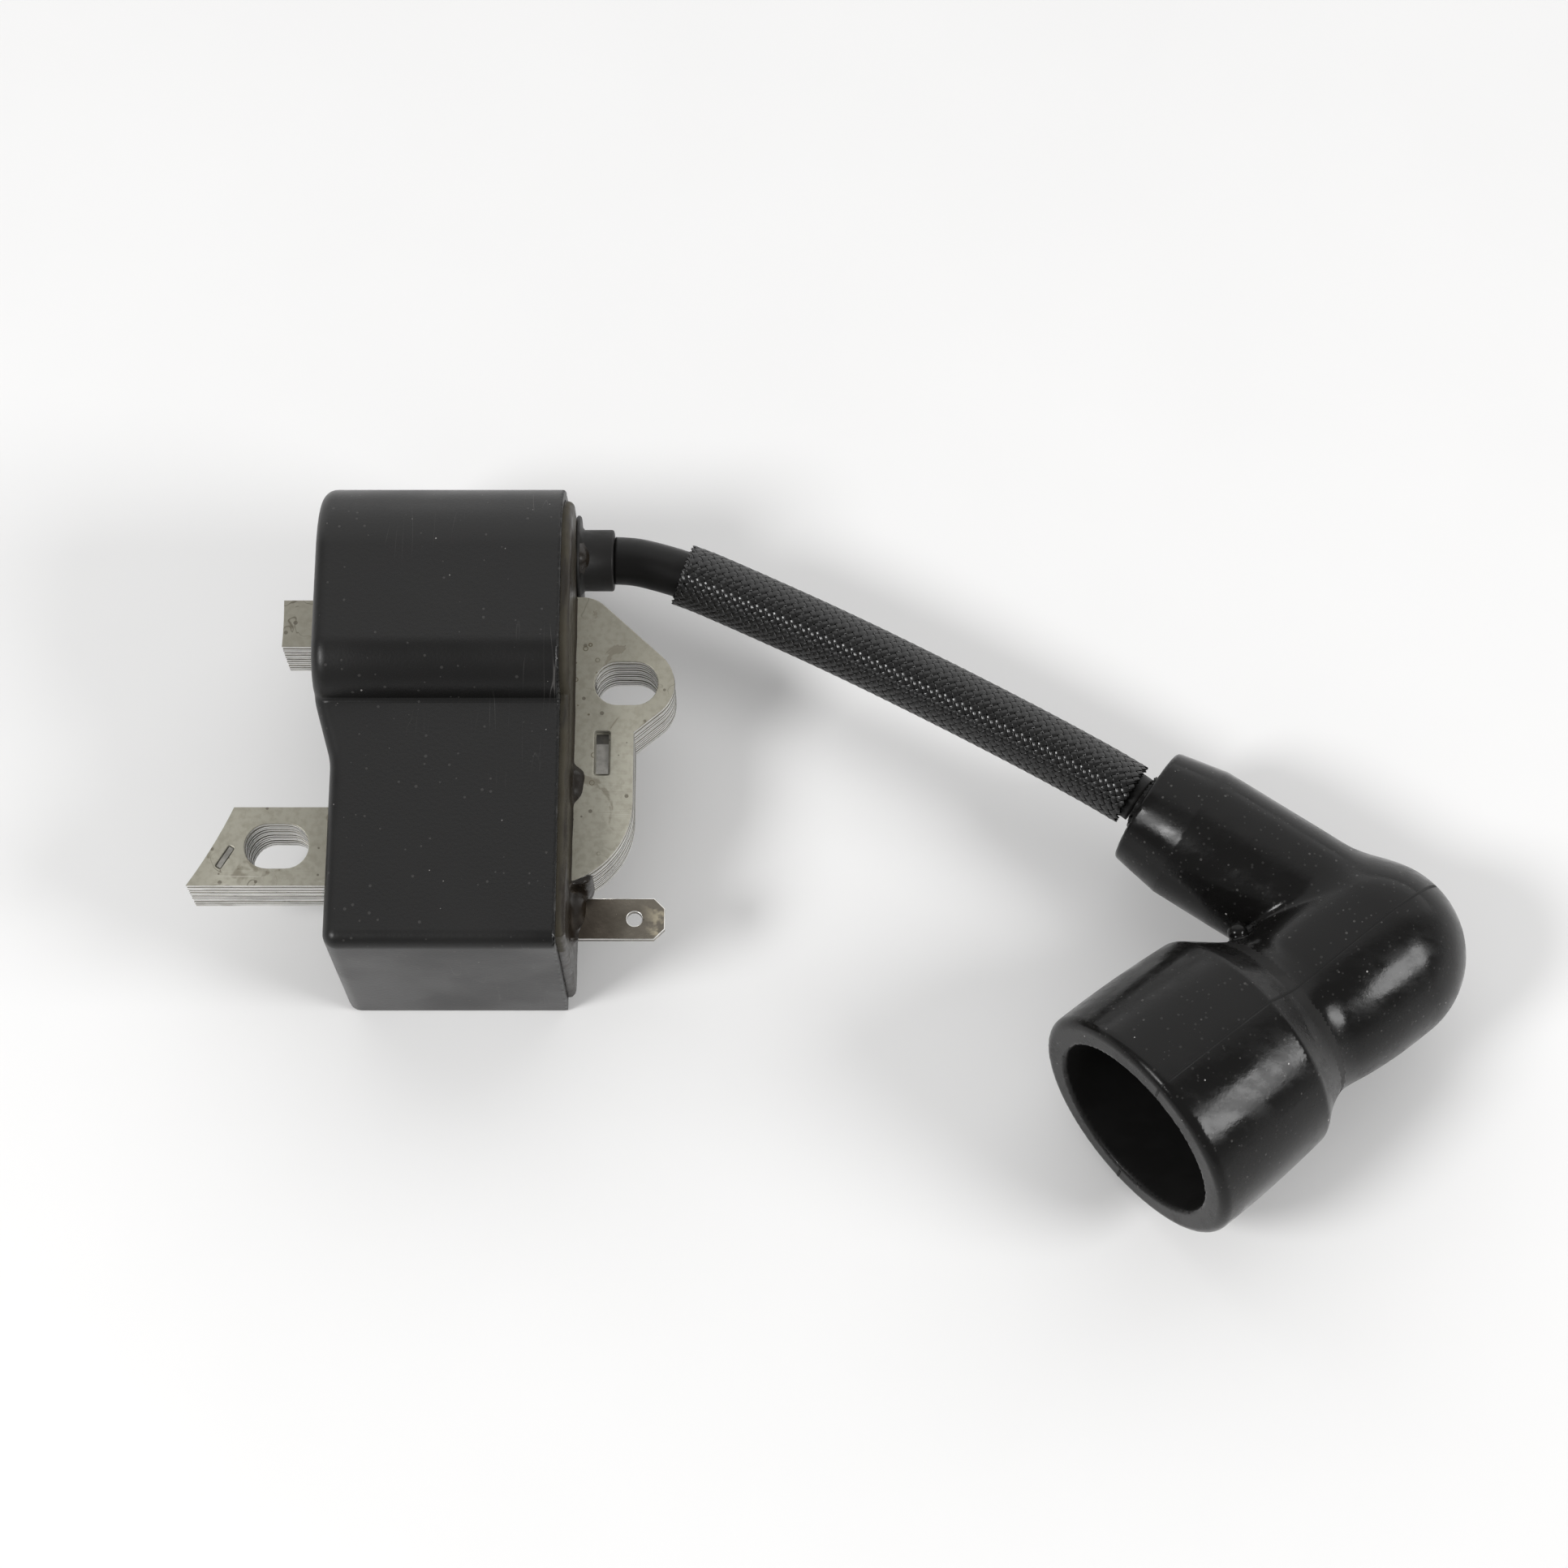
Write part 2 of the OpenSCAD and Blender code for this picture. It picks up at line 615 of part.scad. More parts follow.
module storage_capacitor() { color("#8c2f22") translate(capacitor_pos) cube(capacitor_size); }

// Flat-faced round body under the board, on three wires
module thyristor() {
    r = thyristor_d / 2;
    low = board_z0 - stand_off - thyristor_h;
    color("#1d1d1f") translate([thyristor_pos.x, thyristor_pos.y, low]) {
        difference() {
            cylinder(r = r, h = thyristor_h);
            translate([-2 * r, r / 2, -overcut]) cube([4 * r, 2 * r, thyristor_h + 2 * overcut]);
        }
        for (k = [-1, 0, 1]) translate([k * r / 2, 0, thyristor_h - overcut])
            cylinder(d = wire_t, h = stand_off + overcut, $fn = 24);
    }
}

// A body that lies under the board along Y, hung from its two bent wires
module axial_part(x, y, d, l) {
    z = board_z0 - stand_off - d / 2;
    reach = l / 2 + wire_t;
    translate([x, y - l / 2, z]) rotate([-90, 0, 0]) cylinder(d = d, h = l);
    for (side = [-1, 1]) translate([x, y + side * reach, z - wire_t])
        cylinder(d = wire_t, h = board_z0 - z + wire_t, $fn = 24);
    translate([x, y - reach, z]) rotate([-90, 0, 0]) cylinder(d = wire_t * 0.8, h = 2 * reach, $fn = 24);
}

module rectifier_diodes() { color("#242426") for (x = diode_x) axial_part(x, diode_y, diode_d, diode_l); }

module resistors() {
    color("#c8a878") for (x = resistor_x) axial_part(x, resistor_y, resistor_d, resistor_l);
}

// Bent strip that earths the board on the bare leg's underside
module ground_strap() {
    rise = stack_z0 - board_z;
    color("#b5a36a") translate([strap_x, bare_leg_y, board_z]) {
        cube([strap_w, strap_run, strap_t]);
        cube([strap_w, strap_t, rise]);
        translate([0, -strap_run, rise - strap_t]) cube([strap_w, strap_run + strap_t, strap_t]);
    }
}

// Blade with a chamfered tip, bent down to the board inside the resin
module stop_terminal() {
    c = blade_chamfer;
    half = blade_w / 2;
    color("#8a8378") translate([0, blade_cy, 0]) {
        translate([0, 0, blade_z - blade_t]) linear_extrude(blade_t) difference() {
            polygon([[blade_x0, -half], [blade_x1 - c, -half], [blade_x1, c - half],
                [blade_x1, half - c], [blade_x1 - c, half], [blade_x0, half]]);
            translate([blade_x1 - blade_hole_in, 0]) circle(d = blade_hole);
        }
        translate([blade_x0, -half, board_z]) cube([blade_t, blade_w, blade_z - board_z]);
    }
}

// Pin from the secondary former's end flange to the lead's strands
module output_pin() {
    color("silver") along_x(former_x1, lead_y, lead_z) cylinder(d = output_d, h = root_x0 - former_x1);
}

module lead_collar() {
    l = collar_x1 - collar_x0;
    color("#222224") along_x(collar_x0, lead_y, lead_z) difference() {
        union() {
            cylinder(d = collar_d, h = l);
            translate([0, 0, resin_x - collar_x0]) cylinder(d = collar_flange_d, h = collar_flange_t);
        }
        translate([0, 0, -overcut]) cylinder(r = lead_r + fit, h = l + 2 * overcut);
    }
}

// Stranded conductor, from the output pin to the contact spring's tip
module lead_strands() {
    tail = boot_pos + tail_s0 * neck_dir;
    path = concat([[root_x0, lead_y, lead_z]], route, [tail]);
    color("#b87333") rod(path, tangents(path, [1, 0, 0], -neck_dir), strand_d / 2, strand_sides);
}

module lead_root() {
    color("#1c1c1e") along_x(root_x0, lead_y, lead_z)
        pipe(lead_r, strand_d / 2 + slip, route[0].x - root_x0);
}

module lead_insulation() {
    color("#1c1c1e") tube(route, tangents(route, [1, 0, 0], -neck_dir), lead_r, strand_d / 2 + slip, sides);
}

module lead_tail() {
    color("#1c1c1e") in_boot() rotate([0, neck_lean, 0]) translate([0, 0, tail_s0])
        pipe(lead_r, strand_d / 2 + slip, neck_l + seal_out - tail_s0);
}

module braided_sleeve() {
    path = [for (k = [sleeve_from : sleeve_to]) route[k]];
    dirs = tangents(route, [1, 0, 0], -neck_dir);
    color("#161617") tube(path, [for (k = [sleeve_from : sleeve_to]) dirs[k]],
        sleeve_d / 2, sleeve_d / 2 - sleeve_t, sides);
}

// Barrel with its round end, turned about an axis a little outside the mouth's
module barrel_form() {
    translate([-barrel_off, 0, dome_s]) rotate_extrude() {
        intersection() {
            circle(dome_r);
            translate([0, -dome_r]) square([dome_r, dome_r]);
        }
        polygon([[0, 0], [dome_r, 0], [waist_r, flare_s0 - dome_s], [waist_r, flare_s1 - dome_s],
            [0, flare_s1 - dome_s]]);
    }
}

// Flare and skirt with a rounded lip
module skirt_form() {
    rotate_extrude() {
        polygon([[0, flare_s0], [waist_r, flare_s0], [skirt_r, flare_s1], [lip_r, mouth_reach - lip_round],
            [lip_r - lip_round, mouth_reach - lip_round], [lip_r - lip_round, mouth_reach],
            [0, mouth_reach]]);
        translate([lip_r - lip_round, mouth_reach - lip_round]) circle(lip_round);
    }
}

// Neck with its tapered end and seal lip
module neck_form() {
    rotate([0, neck_lean, 0]) rotate_extrude() polygon([[0, 0], [neck_r, 0], [neck_r, neck_l - neck_taper],
        [neck_end_r, neck_l], [lead_r + seal_t, neck_l], [lead_r + seal_t, neck_l + seal_out],
        [0, neck_l + seal_out]]);
}

module plug_boot() {
    chamfer_r = mouth_r + mouth_chamfer;
    color("#141415") in_boot() difference() {
        union() {
            barrel_form();
            skirt_form();
            neck_form();
        }
        translate([0, 0, mouth_s0]) cylinder(r = mouth_r, h = mouth_bore_l + mouth_chamfer + overcut);
        rotate_extrude() polygon([[0, grip_s0], [grip_r, grip_s0], [grip_r, grip_s1], [mouth_r, mouth_s0],
            [mouth_r, mouth_s0 + overcut], [0, mouth_s0 + overcut]]);
        rotate_extrude() polygon([[0, mouth_s1], [mouth_r, mouth_s1], [chamfer_r, mouth_reach],
            [chamfer_r, mouth_reach + overcut], [0, mouth_reach + overcut]]);
        translate([0, 0, -spring_bore_r]) cylinder(r = spring_bore_r, h = grip_s0 + spring_bore_r + overcut);
        rotate([0, neck_lean, 0]) cylinder(r = lead_r + turn_room, h = neck_l + seal_out + overcut);
    }
}

// Contact spring: curls in the barrel, then a prong along the neck into the strands
prong = [for (s = [0 : 2 : tail_s0 - 0.5]) s * [sin(neck_lean), 0, cos(neck_lean)]];
curls = [for (k = [0 : curl_count * curl_rings]) let (a = 360 * k / curl_rings)
    [curl_r * cos(a), curl_r * sin(a), spring_s0 + curl_pitch * k / curl_rings]];
spring_lead_in = [[curl_r * 0.9, -curl_r * 0.6, spring_s0 - 0.5],
    [curl_r * 0.3, -curl_r * 0.6, spring_s0 - 1.6], [-curl_r * 0.2, -curl_r * 0.2, 0.4]];
spring_path = concat([for (k = [len(prong) - 1 : -1 : 1]) prong[k]],
    [for (k = [len(spring_lead_in) - 1 : -1 : 0]) spring_lead_in[k]], curls);
spring_last = len(spring_path) - 1;
self_gap = min([for (a = [0 : spring_last - curl_rings], b = [a + curl_rings - 2 : spring_last])
    norm(spring_path[a] - spring_path[b])]) - wire_d;
echo(least_gap_of_the_contact_spring_to_itself = self_gap);

module contact_spring() {
    dirs = tangents(spring_path, unit(spring_path[1] - spring_path[0]),
        unit(spring_path[spring_last] - spring_path[spring_last - 1]));
    color("silver") in_boot() rod(spring_path, dirs, wire_d / 2, wire_sides);
}

case();
potting_resin();
core_stack();
primary_former();
primary_winding();
charging_winding();
secondary_former();
secondary_winding();
former_pins();
circuit_board();
storage_capacitor();
thyristor();
rectifier_diodes();
resistors();
ground_strap();
stop_terminal();
output_pin();
lead_collar();
lead_strands();
lead_root();
lead_insulation();
lead_tail();
braided_sleeve();
plug_boot();
contact_spring();
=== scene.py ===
"""Looks of a flywheel ignition coil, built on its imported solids.

Shapes are worked out in millimetres and become metres when their meshes are made.
"""

import json
import math

import bpy
import numpy as np
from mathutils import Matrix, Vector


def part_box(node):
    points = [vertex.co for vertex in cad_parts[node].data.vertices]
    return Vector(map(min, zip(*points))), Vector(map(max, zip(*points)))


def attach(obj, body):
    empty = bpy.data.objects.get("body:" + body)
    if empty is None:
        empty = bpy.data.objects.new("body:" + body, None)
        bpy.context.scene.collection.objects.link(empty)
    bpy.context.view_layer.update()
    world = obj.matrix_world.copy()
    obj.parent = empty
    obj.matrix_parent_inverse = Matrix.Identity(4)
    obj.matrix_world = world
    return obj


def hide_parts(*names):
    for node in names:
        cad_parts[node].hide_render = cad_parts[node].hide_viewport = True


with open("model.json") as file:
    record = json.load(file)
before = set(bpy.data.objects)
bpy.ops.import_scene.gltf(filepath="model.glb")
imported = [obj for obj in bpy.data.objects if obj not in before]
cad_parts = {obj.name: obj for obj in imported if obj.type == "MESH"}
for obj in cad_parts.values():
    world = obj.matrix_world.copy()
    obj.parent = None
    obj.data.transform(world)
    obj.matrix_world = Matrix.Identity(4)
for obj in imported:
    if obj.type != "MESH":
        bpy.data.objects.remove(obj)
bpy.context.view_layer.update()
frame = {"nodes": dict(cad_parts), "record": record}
MM = 0.001


def box_mm(node):
    """Lowest and highest corner of a CAD node, in millimetres."""
    low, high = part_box(node)
    return np.array(low) / MM, np.array(high) / MM


def unit(v):
    """The vector with length one."""
    v = np.asarray(v, float)
    return v / np.linalg.norm(v)


def unit_rows(v):
    """Each row with length one."""
    return v / np.linalg.norm(v, axis=1)[:, None]


joints = {joint["name"]: joint for joint in frame["record"]["behaviour"]["joints"]}
mounts = {mount["name"]: mount for mount in frame["record"]["mounts"]}

# Camera of the photograph
IMAGE_PX = 1932
FOCAL_PX = 4300
SENSOR = 36.0
EYE = (38.5, -137.4, 387.4)
LOOK_DOWN = 70.5

camera_data = bpy.data.cameras.new("camera")
camera_data.sensor_width = SENSOR
camera_data.lens = SENSOR * FOCAL_PX / IMAGE_PX
camera = bpy.data.objects.new("camera", camera_data)
camera.location = [v * MM for v in EYE]
camera.rotation_euler = (math.radians(90 - LOOK_DOWN), 0, 0)
bpy.context.scene.collection.objects.link(camera)
bpy.context.scene.camera = camera

# Lead: its route from the collar's face to the boot's seal lip, and the sleeve's share of it
ROUTE = [(18.9, 21.7, 15.5), (21.4, 21.5, 15.5), (24, 20.9, 15.4), (27, 20, 15.2), (30.4, 18.7, 14.9),
         (39.8, 14.5, 14.2), (46.4, 11.4, 13.7), (52.9, 8.2, 13.2), (60.3, 4.4, 12.7), (67.7, 0.5, 12.1),
         (74.1, -3, 11.5), (78.1, -5.4, 11.2), (79.2, -6.2, 11.1)]
SLEEVE_FROM, SLEEVE_TO = 3, 11
LEAD_R = 2.75
SLEEVE_R = 3.65
LEAD_STEP, LEAD_SIDES = 0.5, 32

# Case
WALL = 1.3
BOX_H = 26.5
CASE_ROUND, BASE_ROUND, RIM_ROUND = 1.6, 0.4, 0.2
JOG, JOG_ROUND = 2.1, 0.3
JOG_Y0, JOG_Y1 = -6.5, 0.9
HUMP_NEAR, HUMP_FILLET = 0.1, 0.4
FAR_ROUND, NEAR_ROUND, LOW_ROUND = 10.0, 6.0, 7.0
RIM_WEAR, RIM_WAVES = 0.03, 1.7
LEG_HOLE_ROUND, LEG_HOLE_GAP = 0.1, 0.05
CASE_CELL = 0.45
case_low, case_high = box_mm("case")
wall_x, rim_x = case_low[0], case_high[0]
front_y, far_y = case_low[1], case_high[1]
coil_h = case_high[2]

# Core
SHEETS = 12
SHEET_PITCH, SHEET_T = 0.65, 0.6
SLOT_W, SLOT_L = 5.2, 7.2
POLE_R, POLE_REACH = 57.0, 4.7
COIL_LEG = (9.45, 15.15)
BARE_LEG = (-19.0, -9.8)
YOKE_X0, YOKE_X1 = 12.4, 21.6
YOKE_Y1 = 15.55
YOKE_CORNER = 9.8
YOKE_TOP_R, YOKE_TOP_IN = 3.8, 6.1
EAR_WALL, EAR_FOOT = 1.85, 5.9
EAR_FROM, EAR_TO = -50, 47
core_low, core_high = box_mm("core_stack")
ear_slot = np.array(mounts["ear_slot"]["pos_m"][:2]) / MM
leg_slot = np.array(mounts["leg_slot"]["pos_m"][:2]) / MM
slot_run = SLOT_L - SLOT_W
coil_y = sum(COIL_LEG) / 2
pole_centre_x = wall_x - POLE_REACH - POLE_R

# Interlock marks in the top sheet: sizes, and places from the yoke's edge and from the slots
YOKE_MARK, LEG_MARK = (1.8, 5.3), (0.8, 2.9)
YOKE_MARK_IN, YOKE_MARK_BELOW = 3.5, 8.4
LEG_MARK_FROM, LEG_MARK_TURN = (-5.7, -1.3), -31
MARK_ROUND, MARK_SUNK = 0.25, 0.05
yoke_mark_pos = (YOKE_X1 - YOKE_MARK_IN, ear_slot[1] - YOKE_MARK_BELOW)
leg_mark_pos = leg_slot + LEG_MARK_FROM

# Stop terminal
BLADE_T, BLADE_CHAMFER, BLADE_ROUND = 0.8, 1.2, 0.09
HOLE_D, HOLE_IN, HOLE_SIDES = 1.7, 3.4, 36
blade_low, blade_high = box_mm("stop_terminal")
tip_x = blade_high[0]

# Lead collar: its axis lies along X, so places along it are X values
COLLAR_R, COLLAR_SIDES = 3.55, 64
collar_low, collar_high = box_mm("lead_collar")
collar_axis = (collar_low + collar_high) / 2 * [0, 1, 1]

# Boot: the lead enters along neck_dir, the plug along mouth_dir
boot_pos = np.array(joints["boot_twist"]["pos_m"]) / MM
neck_dir = unit(joints["boot_twist"]["axis"])
mouth_dir = unit(mounts["boot_mouth"]["axis"])
neck_side = unit(neck_dir - (neck_dir @ mouth_dir) * mouth_dir)
boot_side = np.cross(mouth_dir, neck_side)
boot_axes = np.array([neck_side, boot_side, mouth_dir])
neck_local = boot_axes @ neck_dir
NECK_R, NECK_END_R, NECK_L, NECK_TAPER = 8.0, 7.0, 29.5, 6.0
SEAL_R, SEAL_OUT = 3.3, 0.8
DOME_R, DOME_S, WAIST_R, BARREL_OFF = 10.9, 1.3, 9.6, 1.0
FLARE_S0, FLARE_S1, SKIRT_R, LIP_R, MOUTH_S = 14.8, 19.8, 13.7, 14.3, 36.3
MOUTH_R, MOUTH_BORE_L, GRIP_R, CONE_L = 11.0, 11.5, 5.3, 4.0
SPRING_BORE_R, SPRING_TOP = 3.4, 16.0


# Mesh making
def make_object(name, points, faces, body, material, smooth=True, normals=None):
    """A mesh piece that rides on a body; points in millimetres."""
    mesh = bpy.data.meshes.new(name)
    mesh.from_pydata((np.asarray(points) * MM).tolist(), [], [list(map(int, f)) for f in faces])
    mesh.polygons.foreach_set("use_smooth", [smooth] * len(mesh.polygons))
    if normals is not None:
        mesh.normals_split_custom_set_from_vertices(normals.tolist())
    mesh.materials.append(material)
    piece = bpy.data.objects.new(name, mesh)
    bpy.context.scene.collection.objects.link(piece)
    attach(piece, body)
    return piece


# Signed distances: negative inside, points as an array of rows
def smooth_union(a, b, k):
    """What is inside either, with the corner between them filled over a width k."""
    h = np.clip(0.5 + 0.5 * (b - a) / k, 0, 1)
    return b + (a - b) * h - k * h * (1 - h)


def round_meet(a, b, r):
    """What is inside both, with the edge between them rounded."""
    return np.minimum(-r, np.maximum(a, b)) + np.hypot(np.maximum(a + r, 0), np.maximum(b + r, 0))


def round_box(u, v, low, high, r):
    """Rectangle with rounded corners; r may differ from point to point."""
    qu = np.abs(u - (low[0] + high[0]) / 2) - (high[0] - low[0]) / 2 + r
    qv = np.abs(v - (low[1] + high[1]) / 2) - (high[1] - low[1]) / 2 + r
    return np.hypot(np.maximum(qu, 0), np.maximum(qv, 0)) + np.minimum(np.maximum(qu, qv), 0) - r


def block(p, low, high, r):
    """Box with rounded edges."""
    q = np.abs(p - (np.add(low, high)) / 2) - np.subtract(high, low) / 2 + r
    return np.sqrt((np.maximum(q, 0) ** 2).sum(-1)) + np.minimum(q.max(-1), 0) - r


def ball(p, centre, r):
    return np.sqrt(((p - centre) ** 2).sum(-1)) - r


def outline(u, v, corners):
    """Distance to a closed outline given by its corners."""
    corners = np.asarray(corners, float)
    nearest = np.full(u.shape, np.inf)
    inside = np.zeros(u.shape, bool)
    for a, b in zip(corners, np.roll(corners, -1, axis=0)):
        edge = b - a
        du, dv = u - a[0], v - a[1]
        t = np.clip((du * edge[0] + dv * edge[1]) / (edge @ edge), 0, 1)
        nearest = np.minimum(nearest, (du - t * edge[0]) ** 2 + (dv - t * edge[1]) ** 2)
        spans = (a[1] > v) != (b[1] > v)
        rise = edge[1] if edge[1] else 1.0
        inside ^= spans & (u < a[0] + (v - a[1]) * edge[0] / rise)
    return np.where(inside, -1, 1) * np.sqrt(nearest)


def rod(r, s, radius, start, end):
    """Round bar about an axis; r is a point's distance from the axis, s its place along it."""
    return outline(r, s, [(-1, start), (radius, start), (radius, end), (-1, end)])


def ripple(u, v):
    """Smooth uneven field between about -1 and 1, the same every run."""
    waves = [(0.9, 1.7, 0.3), (2.1, -1.1, 1.9), (-1.6, 2.9, 4.1), (3.7, 2.3, 0.7), (-4.9, 1.3, 2.6)]
    return sum(np.sin(a * u + b * v + c) for a, b, c in waves) / 2.6


# Surfaces of such shapes
FLATTEST_SLOPE = 0.05


def gradient(shape, points, step=0.01):
    """Slope of a shape's distance at each point."""
    slopes = []
    for k in range(3):
        shift = np.zeros(3)
        shift[k] = step
        slopes.append((shape(points + shift) - shape(points - shift)) / (2 * step))
    return np.stack(slopes, -1)


def settle(shape, points, limit, rounds=4):
    """Moves points onto the surface, by no more than limit a round along each axis."""
    for _ in range(rounds):
        slope = gradient(shape, points)
        steep = np.maximum((slope ** 2).sum(-1), FLATTEST_SLOPE)
        move = slope * (shape(points) / steep)[:, None]
        points = points - np.clip(move, -limit, limit)
    return points


def crossed_cells(inside):
    """Number of each grid cell that the surface passes, and -1 for the others."""
    counts = inside.shape
    full = sum(inside[i:counts[0] - 1 + i, j:counts[1] - 1 + j, k:counts[2] - 1 + k].astype(int)
               for i in (0, 1) for j in (0, 1) for k in (0, 1))
    crossed = (full > 0) & (full < 8)
    number = np.full(crossed.shape, -1)
    number[crossed] = np.arange(crossed.sum())
    return number


def cell_quads(inside, number):
    """A quad around each grid edge that the surface cuts, facing outward."""
    steps = np.eye(3, dtype=int)
    quads = []
    for k in range(3):
        a, b = steps[(k + 1) % 3], steps[(k + 2) % 3]
        first = np.take(inside, range(inside.shape[k] - 1), axis=k)
        second = np.take(inside, range(1, inside.shape[k]), axis=k)
        nodes = np.argwhere(first != second)
        ring = [number[tuple((nodes - shift).T)] for shift in (a + b, b, 0 * a, a)]
        quad = np.stack(ring, -1)
        outward = first[tuple(nodes.T)]
        quads.append(np.where(outward[:, None], quad, quad[:, ::-1]))
    return np.concatenate(quads)


def evened(points, quads):
    """Each point moved half way to the middle of its neighbours."""
    pairs = np.concatenate([quads[:, [k, (k + 1) % 4]] for k in range(4)])
    pairs = np.concatenate([pairs, pairs[:, ::-1]])
    own, other = pairs.T
    share = np.bincount(own, minlength=len(points))[:, None]
    total = np.stack([np.bincount(own, points[other, k], len(points)) for k in range(3)], -1)
    return 0.5 * points + 0.5 * total / share


def skin(shape, low, high, cell):
    """Points, quads and normals of a shape's surface, one point for each grid cell that it passes."""
    low = np.asarray(low, float) - 1.5 * cell
    counts = np.ceil((np.asarray(high, float) - low) / cell).astype(int) + 3
    axes = [low[k] + cell * np.arange(counts[k]) for k in range(3)]
    grid = np.stack(np.meshgrid(*axes, indexing="ij"), -1)
    inside = shape(grid.reshape(-1, 3)).reshape(counts) < 0
    number = crossed_cells(inside)
    quads = cell_quads(inside, number)
    points = settle(shape, low + cell * (np.argwhere(number >= 0) + 0.5), cell)
    for _ in range(2):
        points = settle(shape, evened(points, quads), cell, rounds=2)
    return points, quads, unit_rows(gradient(shape, points))


# Sweeps along a path
FINE_STEPS = 24


def smooth_route(points, step):
    """Rounded curve through the points, as evenly spaced points."""
    points = np.asarray(points, float)
    ends = np.vstack([2 * points[0] - points[1], points, 2 * points[-1] - points[-2]])
    fine = []
    for p0, p1, p2, p3 in zip(ends, ends[1:], ends[2:], ends[3:]):
        for t in np.linspace(0, 1, FINE_STEPS, endpoint=False):
            fine.append(0.5 * (2 * p1 + (p2 - p0) * t + (2 * p0 - 5 * p1 + 4 * p2 - p3) * t ** 2
                               + (3 * p1 - p0 - 3 * p2 + p3) * t ** 3))
    fine = np.array(fine + [points[-1]])
    run = np.concatenate([[0], np.cumsum(np.linalg.norm(np.diff(fine, axis=0), axis=1))])
    wanted = np.linspace(0, run[-1], max(2, int(round(run[-1] / step)) + 1))
    return np.stack([np.interp(wanted, run, fine[:, k]) for k in range(3)], -1), wanted


def route_frame(path, outward=(0, 0, 1)):
    """Side and up at each point of a path; up is as near to outward as it can be."""
    along = unit_rows(np.gradient(path, axis=0))
    side = unit_rows(np.cross(along, outward))
    return side, np.cross(side, along)


def round_section(radius, sides):
    """Outline of a round bar."""
    turn = np.arange(sides) * 2 * math.pi / sides
    return radius * np.stack([np.cos(turn), np.sin(turn)], -1)


def band(a, b, sides):
    """Faces between rings number a and b of a list of points."""
    pairs = [(k, (k + 1) % sides) for k in range(sides)]
    return [(a * sides + k, a * sides + j, b * sides + j, b * sides + k) for k, j in pairs]


def sweep(path, section, outward=(0, 0, 1)):
    """Points and faces of a bar along a path; section is its outline as (side, up) pairs."""
    side, up = route_frame(path, outward)
    section = np.asarray(section)
    ring = section[None, :, :1] * side[:, None] + section[None, :, 1:] * up[:, None]
    points = (path[:, None] + ring).reshape(-1, 3)
    sides = len(section)
    faces = []
    for a in range(len(path) - 1):
        faces += band(a, a + 1, sides)
    faces.append(tuple(range(sides))[::-1])
    faces.append(tuple((len(path) - 1) * sides + k for k in range(sides)))
    return points, faces


def turned(profile, start, axis, sides):
    """Points and faces of a profile of (radius, place) pairs turned about an axis; it closes on itself."""
    axis = unit(axis)
    side = unit(np.cross(axis, [0, 0, 1]))
    up = np.cross(side, axis)
    profile = np.asarray(profile, float)
    turn = np.arange(sides) * 2 * math.pi / sides
    ring = np.cos(turn)[:, None] * side + np.sin(turn)[:, None] * up
    points = [np.asarray(start) + s * axis + r * ring for r, s in profile]
    faces = []
    for a in range(len(profile)):
        faces += band(a, (a + 1) % len(profile), sides)
    return np.concatenate(points), faces


# Materials
class Nodes:
    """Adds nodes to a tree; an input is a value or another node's output."""

    def __init__(self, tree, coordinates):
        self.tree = tree
        self.place = self.node("TexCoord", {}).outputs[coordinates]

    def node(self, kind, inputs, **settings):
        made = self.tree.nodes.new("ShaderNode" + kind)
        for key, value in settings.items():
            setattr(made, key, value)
        for key, value in inputs.items():
            if isinstance(value, bpy.types.NodeSocket):
                self.tree.links.new(value, made.inputs[key])
            else:
                made.inputs[key].default_value = value
        return made

    def axes(self):
        """X, Y and Z of the coordinates."""
        return self.node("SeparateXYZ", {"Vector": self.place}).outputs

    def ramp(self, value, low, high, start=0.0, end=1.0):
        """Smooth change from start to end while value goes from low to high."""
        inputs = {"Value": value, "From Min": low, "From Max": high, "To Min": start, "To Max": end}
        return self.node("MapRange", inputs, interpolation_type="SMOOTHSTEP").outputs[0]

    def math(self, operation, a, b=0.0):
        return self.node("Math", {0: a, 1: b}, operation=operation).outputs[0]

    def times(self, a, b):
        return self.math("MULTIPLY", a, b)

    def away(self, value, middle):
        """How far a value is from a middle one."""
        return self.math("ABSOLUTE", self.math("SUBTRACT", value, middle))


